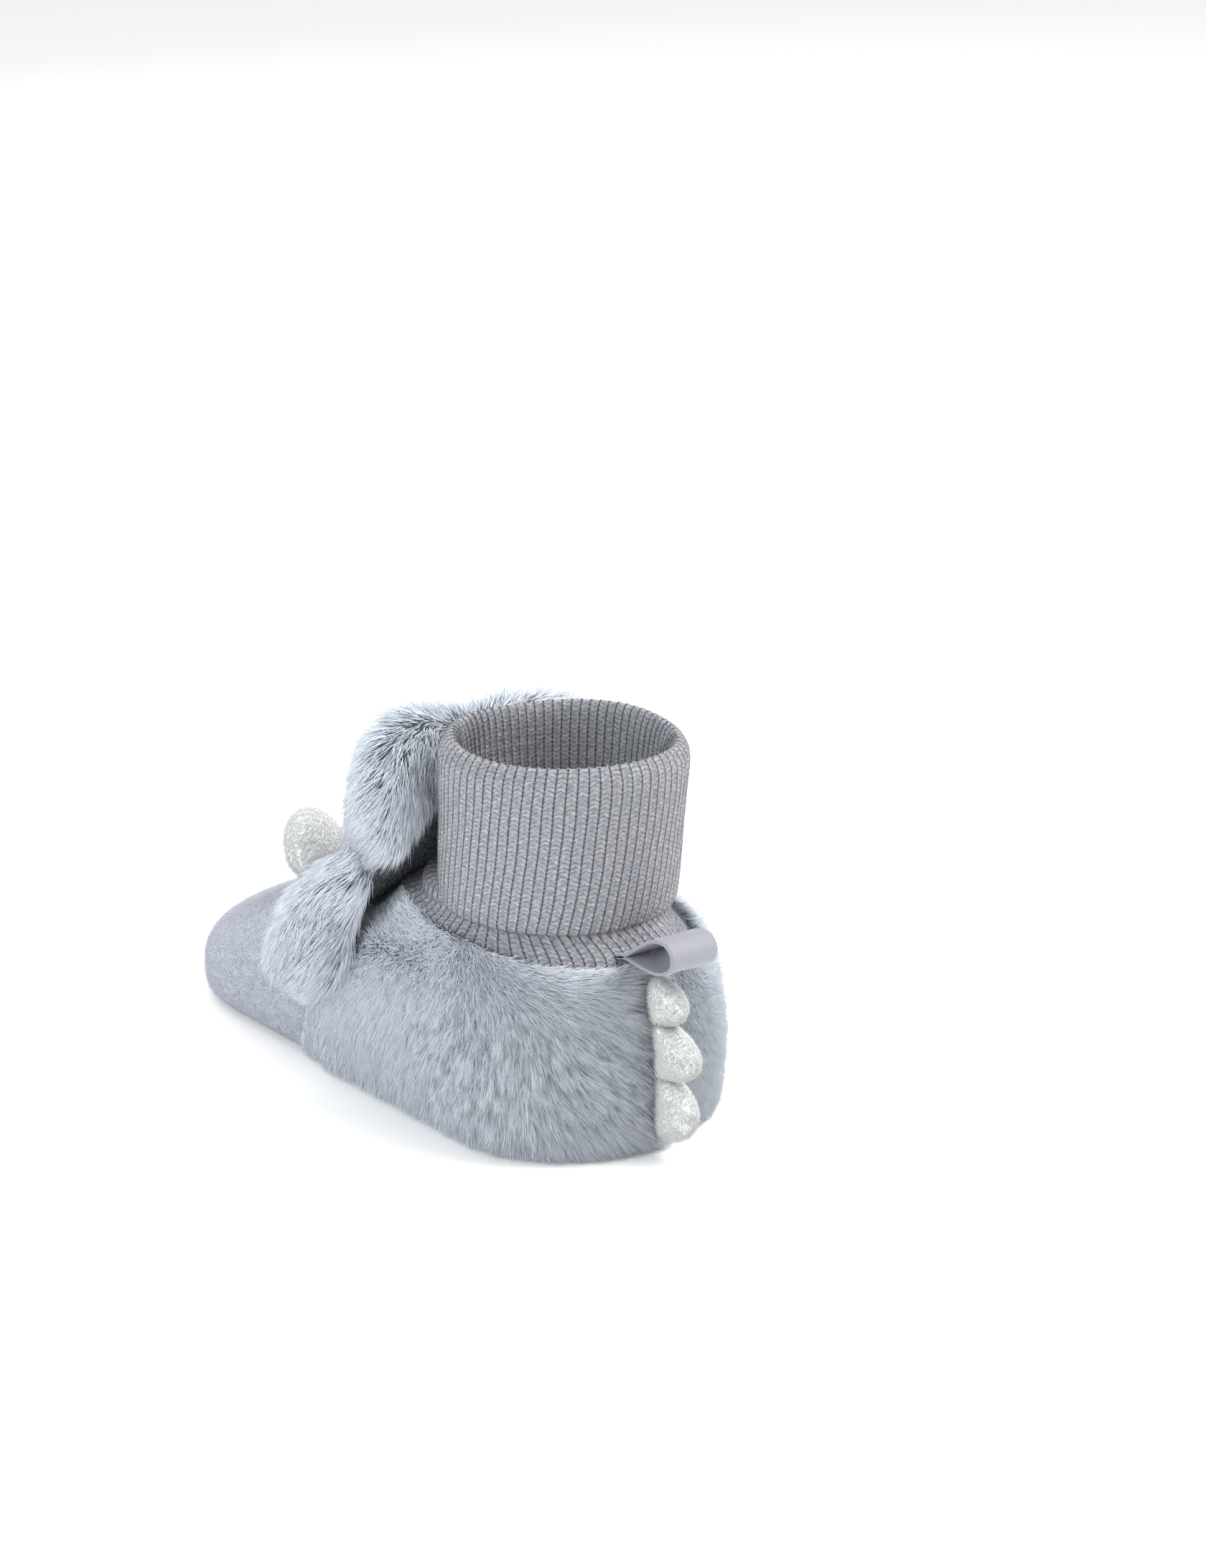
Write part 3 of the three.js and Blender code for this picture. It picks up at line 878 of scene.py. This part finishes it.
def frillPoint(along, turn, inset=0.0):
    # turn is 0 at the outer edge, half a turn forward or back at the root
    share = 1 - np.abs(2 * along - 1)
    side = np.where(along > 0.5, -1.0, 1.0)
    seam = seamPoint(np.radians(blendTo(frill["startAngle"], 180.0, share)))
    edge = smoothLine(frillOutline, share)
    rootX, rootZ = seam[..., 0] - frill["rootInside"], seam[..., 2] - frill["rootInside"]
    middleX, middleZ = (edge[..., 0] + rootX) / 2, (edge[..., 1] + rootZ) / 2
    reachX, reachZ = edge[..., 0] - middleX, edge[..., 1] - middleZ
    length = np.maximum(np.hypot(reachX, reachZ), 1e-6)
    half = np.maximum(frillHalfAt(share) - inset, 0)
    fromSeam = turn - seamTurnAt(share)
    groove = np.interp(share, seamPlaces, seamDepths) * np.exp(-((fromSeam / frill["seamWidth"]) ** 2))
    groove = groove * np.minimum(1, half / frill["half"])
    across = np.cos(turn) * (1 - (groove + inset) / length)
    x = (middleX + reachX * across) * side
    z = middleZ + reachZ * across
    bulge = np.sin(turn) * np.where(np.sin(turn) > 0, 1 - undercutAt(x, z), 1)
    y = frillDepth(np.abs(x), z) + bulge * np.maximum(half - groove, 0)
    z = z - frill["farDroop"] * smoothStep(0, 18, -x) * smoothStep(50, 72, z)
    return np.stack([x, y, z], -1)


def seamTurnAt(share):
    return np.radians(np.interp(share, seamPlaces, seamTurns))


def frillComb(mesh, flat, placeAt):
    # the pile falls outwards and down, and away from the edge seam further in
    points = meshPoints(mesh)
    comb = unit(placeAt(flat[:, 0], flat[:, 1] + 0.02) - points)
    away = fade(frillTrim["awayFromSeam"], flat[:, 1])[:, None]
    middle = np.exp(-((points[:, 0] / frillFall["middleWidth"]) ** 2))
    outward = frillFall["outward"] * np.tanh(points[:, 0] / frillFall["parting"])
    forward = -frillFall["forward"] - frillFall["middleMore"] * middle
    falling = np.stack([outward, forward, np.full(len(points), -frillFall["down"])], 1)
    return tangentOnly(mesh, comb * away + falling)


def frillLengths(mesh, flat, face):
    points = meshPoints(mesh)
    lengths = 1 - fade(frillTrim[face + "Root"], flat[:, 1])
    lengths = lengths * (1 - fade(frillTrim["foot"], points[:, 2]))
    if face == "back":
        # cut this short, the back's pile in the undercut is also darkened as painted shade in growPile
        lengths = lengths * (1 - fade(frillTrim["undercut"], undercutAt(points[:, 0], points[:, 2])))
    return lengths


def makeFrill():
    for face, sign in (("front", -1), ("back", 1)):
        def placeAt(u, v):
            seam = seamTurnAt(1 - np.abs(2 * u - 1))
            return frillPoint(u, blendTo(seam, sign * math.pi, v))

        mesh, flat = gridMesh("frill " + face, frill["columns"], frill["rows"], placeAt)
        turnOut(mesh, (0, sign, 0))
        comb = frillComb(mesh, flat, placeAt)
        lengths = frillLengths(mesh, flat, face)
        upright = fade(frillTrim["upright"], flat[:, 1])
        for part in ("under", "over"):
            pile = dict(frillPile, strands=frillPile["strands"] // 4)
            pileData = growPile("frill pile", mesh, comb, pile, lengths, None, upright)
            name = "frillPile_" + face + "_" + part
            finishFrillPiece(bpy.data.objects.new(name, pileData), materials["furPile"], "fur")
        cleanMesh(mesh)
        turnOut(mesh, (0, sign, 0))
        skin = bpy.data.objects.new("frill_" + face + "_fabric", mesh)
        addThickness(skin, frill["fabric"])
        finishFrillPiece(skin, materials["furBacking"], "fur", "frill_" + face)


def finishFrillPiece(piece, material, slot, *nodes):
    dressPiece(piece, material, nodes)
    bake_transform(piece)


makeFrill()


def makeFrillFilling():
    def placeAt(u, v):
        along = frill["fillingEnds"] + (1 - 2 * frill["fillingEnds"]) * u
        return frillPoint(along, v * 2 * math.pi, frill["fillingInset"])

    mesh, _ = gridMesh("frill filling", 90, 24, placeAt)
    cleanMesh(mesh, fillEnds=True)
    piece = bpy.data.objects.new("frillFilling", mesh)
    finishFrillPiece(piece, materials["wadding"], "wadding", "frill_wadding")


makeFrillFilling()


print("rib cuff")
cuff = {
    "ribs": 72,
    "columnsPerRib": 8,
    "ribDepth": 0.6,
    "stitchDepth": 0.2,
    "course": 0.95,
    "rimHeight": 81.0,
    "rimRadius": 25.9,
    "hemHeight": 46.0,
    "hemRadius": 24.6,
    "hemShift": (1.0, -1.3),
    "hemTwist": 0.13,
    "neckTwist": -0.2,
    "sleeveRadius": 21.6,
    "sleeveThickness": 2.2,
    "turnback": 2.8,
    "insideDepth": 0.45,
    "slant": 0.6,
    "wobble": [(0.35, 2, 0.7), (0.25, 3, 2.0), (0.15, 5, 0)],
    "rimWaves": [(0.5, 1, 0.4), (0.3, 3, 1.1)],
    "waver": [(0.10, 12.6, 7), (0.03, 44, 23)],
}


def waves(angle, parts):
    # each part is a wave's height, its count round the cuff and its start
    return sum(height * np.sin(count * angle + start) for height, count, start in parts)


def turnbackSection():
    # radius, height, whether the height is above the collar (1) or the ground (0), and rows to the next
    hem, rim = cuff["hemHeight"], cuff["rimHeight"]
    inner = cuff["sleeveRadius"] - cuff["sleeveThickness"]
    hemRadius, rimRadius, turnback = cuff["hemRadius"], cuff["rimRadius"], cuff["turnback"]
    return [
        (hemRadius - turnback + 0.3, hem + 2.4, 0, 4),
        (hemRadius - turnback / 2 + 0.1, hem + 0.1, 0, 7),
        (hemRadius + 0.2, hem + 2.2, 0, 41),
        (hemRadius + 0.7, (hem + rim) / 2, 0, 41),
        (rimRadius, rim - 5, 0, 10),
        (rimRadius - 0.8, rim - 1.4, 0, 7),
        (rimRadius - 2.4, rim - 0.1, 0, 7),
        (rimRadius - 3.9, rim - 2.6, 0, 12),
        (inner + 1.6, rim - 10, 0, 12),
        (inner + 0.3, rim - 20, 0, 12),
        (inner, rim - 31, 0, 2),
        (inner + 1.0, rim - 31.8, 0, 3),
    ]


def sleeveSection():
    sleeve, rim = cuff["sleeveRadius"], cuff["rimHeight"]
    inner = sleeve - cuff["sleeveThickness"]
    return [
        (26.2, -1.5, 1, 8),
        (25.7, 1.2, 1, 10),
        (23.6, 4.2, 1, 12),
        (sleeve + 0.3, 8.5, 1, 3),
        (sleeve, rim - 28, 0, 1),
        (inner + 1.6, rim - 27.4, 0, 1),
        (inner + 0.6, rim - 28, 0, 24),
        (inner + 0.3, 8.0, 1, 6),
        (inner + 1.5, 3.0, 1, 4),
        (23.0, -1.5, 1, 2),
    ]


def cuffProfile(section):
    # the section as a smooth closed line
    values = np.array([s[:3] for s in section], float)
    count = len(section)
    fine = []
    for i in range(count):
        p0, p1, p2, p3 = (values[(i + k) % count] for k in (-1, 0, 1, 2))
        for t in np.linspace(0, 1, section[i][3], endpoint=False):
            fine.append(splinePoint(p0, p1, p2, p3, t))
    return np.array(fine + fine[:1])


def cuffSurface(profile, u, v, isTurnback):
    rows = len(profile) - 1
    place = (v % 1.0) * rows
    radius, height, follow = (np.interp(place, np.arange(rows + 1), profile[:, i]) for i in range(3))
    angle = u * 2 * math.pi
    front = np.maximum(0, -np.cos(angle)) * (shoe["collarFrontReach"] - shoe["collarRadius"])
    z = height + follow * (collarHeightAt(angle) - collarDip(angle))
    upper = smoothStep(50, 80, z)
    # the lower end follows the fur's edge where that hangs below the seam line
    widened = (bodySurface(angle, furTop(angle)) - collarEdge(angle))[..., :2]
    widened = widened * (smoothStep(8, 0, height) * np.clip(follow, 0, 1))[..., None]
    r = radius + front * np.clip(follow, 0, 1) + waves(angle, cuff["wobble"]) * (0.4 + 0.6 * upper)
    low = np.clip((cuff["rimHeight"] - z) / (cuff["rimHeight"] - cuff["hemHeight"]), 0, 1)
    z = z + upper * waves(angle, cuff["rimWaves"])
    shift = low if isTurnback else np.zeros_like(low)
    straight = smoothStep(0.25, 0.6, frontShare(angle)) * smoothStep(5, -1, height)
    neckTwist = cuff["neckTwist"] * smoothStep(50, 40, z) * (1 - straight)
    twist = cuff["hemTwist"] * low**2 if isTurnback else neckTwist
    x = r * np.sin(angle + twist) + cuff["hemShift"][0] * shift + widened[..., 0]
    y = shoe["ankleY"] + r * np.cos(angle + twist) + cuff["hemShift"][1] * shift + widened[..., 1]
    return np.stack([x, y, z], -1)


def makeKnit(name, section, isTurnback, *nodes):
    profile = cuffProfile(section)
    rows = len(profile) - 1
    steps = np.minimum(np.hypot(np.diff(profile[:, 0]), np.diff(profile[:, 1])), 2.0)
    lengths = np.concatenate([[0], np.cumsum(steps)])

    def patternAt(u, v):
        waver = sum(size * np.sin(u * turns + v * ups) for size, turns, ups in cuff["waver"])
        course = np.interp(v * rows, np.arange(rows + 1), lengths) / cuff["course"]
        return u * cuff["ribs"] + waver, course

    def placeAt(u, v):
        def beside(right, above):
            return cuffSurface(profile, u + right, v + above, isTurnback)

        sideStep, step = 0.001, 0.5 / rows
        point = beside(0, 0)
        around = beside(sideStep, 0) - beside(-sideStep, 0)
        outward = unit(np.cross(around, beside(0, step) - beside(0, -step)))
        ribs, course = patternAt(u, v)
        reach = np.abs(2 * (ribs % 1.0) - 1)
        rib = 1 - reach**4
        stitch = 0.5 + 0.5 * np.cos(2 * math.pi * (course + cuff["slant"] * reach))
        outside = smoothStep(-0.2, 0.6, np.sum(outward[:, :2] * unit(point[:, :2] - (0, shoe["ankleY"])), 1))
        depth = cuff["ribDepth"] * blendTo(cuff["insideDepth"], 1.0, outside)
        height = -depth * (1 - rib) + cuff["stitchDepth"] * (stitch - 0.5) * rib
        return point + outward * height[..., None]

    mesh, flat = gridMesh(name, cuff["ribs"] * cuff["columnsPerRib"], rows, placeAt)
    corners = np.empty(len(mesh.loops), np.int64)
    mesh.loops.foreach_get("vertex_index", corners)
    pattern = np.stack(patternAt(flat[:, 0], flat[:, 1]), 1)[corners]
    mesh.uv_layers.new(name="stitches").data.foreach_set("uv", pattern.ravel())
    cleanMesh(mesh)
    newPiece(name, mesh, knitMaterial(name), "shoe", "rib_knit", *nodes)


def calc(tree, operation, first, second=None):
    node = addNode(tree, "Math", operation=operation)
    for socket, value in zip(node.inputs, (first, second)):
        if isinstance(value, (int, float)):
            socket.default_value = value
        elif value is not None:
            tree.links.new(value, socket)
    return node.outputs["Value"]


def knitMaterial(name):
    # two legs to a stitch, with painted shade in the small hole between the legs, in the gap between one
    # stitch and the next, and in the grooves between the ribs
    material, tree, shader = newMaterial(name, 0.9, 0.1, 0.2)
    uv, ribs, courses = mapPlace(tree, "stitches")
    across = calc(tree, "SUBTRACT", calc(tree, "FRACT", ribs), 0.5)
    reach = calc(tree, "MULTIPLY", calc(tree, "ABSOLUTE", across), 2.0)
    slant = calc(tree, "ADD", courses, calc(tree, "MULTIPLY", reach, cuff["slant"]))
    fromTurn = calc(tree, "ABSOLUTE", calc(tree, "SUBTRACT", calc(tree, "FRACT", slant), 0.5))
    # painted shade: these ramps darken the gap between stitches, the crease between a stitch's legs and the
    # grooves between the ribs
    stitchGapShadeStops = [(0.0, (0.52, 0.53, 0.55)), (0.14, (0.88, 0.88, 0.89)), (0.3, (1, 1, 1))]
    grooveShadeStops = [(0.78, (1, 1, 1)), (0.91, (0.45, 0.45, 0.48)), (1.0, (0.26, 0.26, 0.29))]
    yarnStops = [(0.32, (0.195, 0.21, 0.24)), (0.5, (0.275, 0.28, 0.305)), (0.68, (0.40, 0.39, 0.395))]
    between = addRamp(tree, fromTurn, stitchGapShadeStops)
    jagged = calc(tree, "ADD", reach, calc(tree, "MULTIPLY", calc(tree, "FRACT", courses), 0.08))
    groove = addRamp(tree, jagged, grooveShadeStops)
    centre = addRamp(tree, reach, [(0.0, (0.80, 0.80, 0.82)), (0.16, (1, 1, 1))])
    flecks = addNode(tree, "TexNoise", {"Scale": 1.7, "Detail": 2.0})
    tree.links.new(uv, flecks.inputs["Vector"])
    colour = addRamp(tree, flecks.outputs["Fac"], yarnStops)
    for shade in (between, groove, centre):
        colour = multiplyColours(tree, colour, shade)
    tree.links.new(colour, shader.inputs["Base Color"])
    fuzz = objectNoise(tree, 4500, 2.0)
    relief = calc(tree, "ADD", fromTurn, calc(tree, "MULTIPLY", fuzz, 0.5))
    addBump(tree, shader, relief, 0.6, 0.15)
    return material


makeKnit("cuffTurnback", turnbackSection(), True, "rib_cuff")
makeKnit("cuffSleeve", sleeveSection(), False)


print("horns")
horn = {
    "spread": 7.8,
    "base": (-34.6, 29.0),
    "lean": 0.3,
    "splay": 0.25,
    "turn": 0.28,
    "length": 15.6,
    "halfWidth": 7.8,
    "halfDepth": 4.8,
    "sunk": 3.0,
    "shoulder": 0.42,
    "fullness": 2.4,
    "footWidth": 0.6,
    "footDepth": 0.5,
    "footTop": 0.55,
    "seam": 0.5,
    "seamWidth": 0.2,
}
hornPile = dict(toePile, strands=13000, length=1.0, width=0.08, swirlSize=5)


def makeHorn(sideName, side):
    lean = unit(np.array([side * horn["splay"], -horn["lean"], 1.0]))
    across = np.array([math.cos(horn["turn"]), side * math.sin(horn["turn"]), 0])
    across = unit(across - lean * np.dot(across, lean))
    forward = np.cross(lean, across)
    base = np.array([side * horn["spread"], *horn["base"]]) - lean * horn["sunk"]

    def placeAt(u, v):
        height = np.sin(v * math.pi / 2)
        crown = np.maximum(0, (height - horn["shoulder"]) / (1 - horn["shoulder"]))
        rounding = np.sqrt(np.maximum(0, 1 - crown ** horn["fullness"]))
        spread = smoothStep(0, horn["footTop"], height)
        width = blendTo(horn["footWidth"], 1.0, spread) * horn["halfWidth"] * rounding
        depth = blendTo(horn["footDepth"], 1.0, spread) * horn["halfDepth"] * rounding
        turn = u * 2 * math.pi
        # the seam round the leaf's edge is drawn in a little
        nip = horn["seam"] * np.exp(-((np.sin(turn) / horn["seamWidth"]) ** 2)) * rounding
        rise = height * (horn["length"] + horn["sunk"])
        wide, deep = np.cos(turn) * (width - nip), np.sin(turn) * depth
        return base + lean * rise[:, None] + across * wide[:, None] + forward * deep[:, None]

    mesh, _ = gridMesh("horn " + sideName, 60, 40, placeAt)
    cleanMesh(mesh)
    turnOut(mesh, meshPoints(mesh) - base - lean * 8)
    body = "horn_" + sideName
    pileData = growPile("horn pile", mesh, tangentComb(mesh, lean), hornPile)
    newPiece("hornPile_" + sideName, pileData, materials["whitePile"], body, "white_plush")
    node = "brow_horn_" + sideName
    skin = newPiece("horn_" + sideName + "_cover", mesh, materials["whiteBacking"], body, "white_plush", node)


for sideName, side in bothSides:
    makeHorn(sideName, side)


print("heel spine")
spine = {
    "half": 2.8,
    "reaches": (11.0, 12.5, 9.5),
    "notch": -0.6,
    "proud": 2.6,
    "fabric": 0.8,
    "fillingShare": 0.66,
    "fillingEnds": 0.02,
    "foot": 0.02,
    "top": 0.94,
    "lobeRoundness": 0.95,
    "endRounding": 14,
    "rootThin": 0.62,
    "notchThin": 0.4,
    "columns": 150,
    "rows": 30,
}
spinePile = dict(hornPile, strands=26000, length=0.85)


def heelSeam(along):
    rise = blendTo(spine["foot"], spine["top"], along)
    return bodyPoint(np.zeros_like(along), rise)


def spinePoint(along, turn):
    count = len(spine["reaches"])
    inLobe = (along * count) % 1.0
    wave = np.sqrt(np.maximum(0, 1 - (2 * inLobe - 1) ** 2)) ** spine["lobeRoundness"]
    lobe = np.minimum(count - 1, np.floor(along * count)).astype(int)
    peak = np.array(spine["reaches"])[lobe]
    seam = heelSeam(along)
    inner = seam[..., 1] + 0.2
    outer = seam[..., 1] + spine["proud"] + spine["notch"] + (peak - spine["notch"]) * wave
    end = np.sqrt(np.maximum(0, np.minimum(1, np.minimum(along, 1 - along) * spine["endRounding"])))
    middle, reach = (inner + outer) / 2, (outer - inner) / 2
    outward = np.cos(turn)
    thin = blendTo(spine["rootThin"], 1.0, smoothStep(-0.9, 0.2, outward))
    point = seam.copy()
    point[..., 1] = middle + reach * outward
    lobed = spine["notchThin"] + (1 - spine["notchThin"]) * wave
    point[..., 0] = np.sin(turn) * spine["half"] * lobed * end * thin
    return point


def makeSpine():
    for sideName, side in bothSides:
        def placeAt(u, v):
            return spinePoint(u, side * v * math.pi)

        mesh, _ = gridMesh("heel spine " + sideName, spine["columns"], spine["rows"], placeAt)
        turnOut(mesh, (side, 0, 0))
        comb = tangentComb(mesh, (0, 1, -0.2))
        pile = dict(spinePile, strands=spinePile["strands"] // 2)
        pileData = growPile("spine pile", mesh, comb, pile)
        newPiece("spinePile_" + sideName, pileData, materials["whitePile"], "heel_spine", "white_plush")
        name = "spine_" + sideName + "_cover"
        node = "heel_spine_" + sideName
        skin = newPiece(name, mesh, materials["whiteBacking"], "heel_spine", "white_plush", node)
        cleanMesh(mesh)
        turnOut(mesh, (side, 0, 0))
        addThickness(skin, spine["fabric"])


makeSpine()


def makeSpineFilling():
    def placeAt(u, v):
        along = spine["fillingEnds"] + (1 - 2 * spine["fillingEnds"]) * u
        middle = heelSeam(along) + np.array([0, spine["proud"] + 1.0, 0])
        return blendTo(middle, spinePoint(along, v * 2 * math.pi), spine["fillingShare"])

    mesh, _ = gridMesh("heel spine filling", 90, 20, placeAt)
    cleanMesh(mesh, fillEnds=True)
    node = "heel_spine_filling"
    piece = newPiece("spineFilling", mesh, materials["wadding"], "heel_spine", "wadding", node)


makeSpineFilling()


print("sole")
sole = {"inset": 0.8, "thickness": 1.6, "steps": 180, "edge": 0.5}


def makeSole():
    bm = bmesh.new()
    bmesh.ops.create_circle(bm, segments=sole["steps"], radius=1.0, cap_ends=True)
    for vert in bm.verts:
        angle = np.array(math.atan2(vert.co.x, vert.co.y))
        point = soleEdge(angle) - soleOutward(angle) * sole["inset"]
        vert.co = Vector((point[0], point[1], 0)) * mm
    walls = bmesh.ops.extrude_face_region(bm, geom=bm.faces[:])
    top = [item for item in walls["geom"] if isinstance(item, bmesh.types.BMVert)]
    bmesh.ops.translate(bm, vec=(0, 0, sole["thickness"] * mm), verts=top)
    bmesh.ops.recalc_face_normals(bm, faces=bm.faces)
    rims = [edge for edge in bm.edges if abs(edge.verts[0].co.z - edge.verts[1].co.z) < 1e-6]
    edge = sole["edge"] * mm
    bmesh.ops.bevel(bm, geom=rims, offset=edge, affect="EDGES", segments=3, profile=0.5, material=-1)
    mesh = toMesh(bm, bpy.data.meshes.new("sole"))
    newPiece("soleFabric", mesh, materials["sole"], "shoe", "sole_fabric", "outsole")


makeSole()


print("pull loop")
loop = {"root": (71.0, 42.0), "length": 16.0, "half": 3.3, "rise": 0.28, "width": 11.5, "thickness": 0.6}


def makeLoop():
    length, half = loop["length"], loop["half"]
    upper = [(0, 0.25), (0.28 * length, 0.55 * half), (0.62 * length, half), (0.9 * length, 0.8 * half)]
    lower = [(y, -z) for y, z in reversed(upper)]
    controls = [(-3.0, 0.2), *upper, (length, 0), *lower, (-3.0, -0.2)]
    line = smoothLine(controls, np.linspace(0, 1, 97))
    ahead = unit(np.gradient(line, axis=0))
    outward = np.stack([-ahead[:, 1], ahead[:, 0]], 1)
    lean, rise = math.cos(loop["rise"]), math.sin(loop["rise"])
    turn = np.array([[lean, rise], [-rise, lean]])
    steps = np.arange(len(line))

    def placeAt(u, v):
        # across the tape the section is a thin rounded bar
        angle = v * 2 * math.pi
        x = np.clip(np.cos(angle) * 1.25, -1, 1) * loop["width"] / 2
        layer = np.clip(np.sin(angle) * 1.8, -1, 1) * loop["thickness"] / 2
        place = u * (len(line) - 1)
        at = np.stack([np.interp(place, steps, line[:, i]) for i in range(2)], 1)
        side = np.stack([np.interp(place, steps, outward[:, i]) for i in range(2)], 1)
        flat = (at + side * layer[:, None]) @ turn
        return np.stack([x, flat[:, 0] + loop["root"][0], flat[:, 1] + loop["root"][1]], 1)

    mesh, _ = gridMesh("pull loop", 96, 40, placeAt)
    cleanMesh(mesh)
    cleanMesh(mesh, fillEnds=True)
    mesh.shade_smooth()
    newPiece("pullLoop", mesh, tapeMaterial(), "loop", "tape", "pull_loop")


def tapeMaterial():
    # a fine twill: diagonal lines across the tape
    material, tree, shader = newMaterial("woven tape", 0.55, 0.2)
    uv = addNode(tree, "UVMap", uv_map="OFBake")
    turned = addNode(tree, "Mapping", {"Scale": (60, 36, 1), "Rotation": (0, 0, math.radians(40))})
    tree.links.new(uv.outputs["UV"], turned.inputs["Vector"])
    twill = addNode(tree, "TexWave", {"Scale": 0.9, "Distortion": 0.4}, wave_type="BANDS")
    tree.links.new(turned.outputs["Vector"], twill.inputs["Vector"])
    colour = addRamp(tree, twill.outputs["Fac"], [(0.2, (0.22, 0.225, 0.265)), (0.8, (0.32, 0.325, 0.37))])
    tree.links.new(colour, shader.inputs["Base Color"])
    addBump(tree, shader, twill.outputs["Fac"], 0.35, 0.1)
    return material


makeLoop()


print("hidden layers")
hiddenFinishes = {
    "insole": "lining",
    "sole_padding": "wadding",
    "brow_horn_filling_left": "wadding",
    "brow_horn_filling_right": "wadding",
}
for node, finish in hiddenFinishes.items():
    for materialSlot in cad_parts[node].material_slots:
        materialSlot.material = materials[finish]


print("floor")


def makeFloor():
    bm = bmesh.new()
    bmesh.ops.create_grid(bm, x_segments=1, y_segments=1, size=4.0)
    mesh = toMesh(bm, bpy.data.meshes.new("floor"))
    floor = bpy.data.objects.new("floor", mesh)
    addToScene(floor)
    material, tree, shader = newMaterial("floor paper", 0.9)
    shader.inputs["Base Color"].default_value = (0.97, 0.97, 0.97, 1)
    mesh.materials.append(material)


makeFloor()
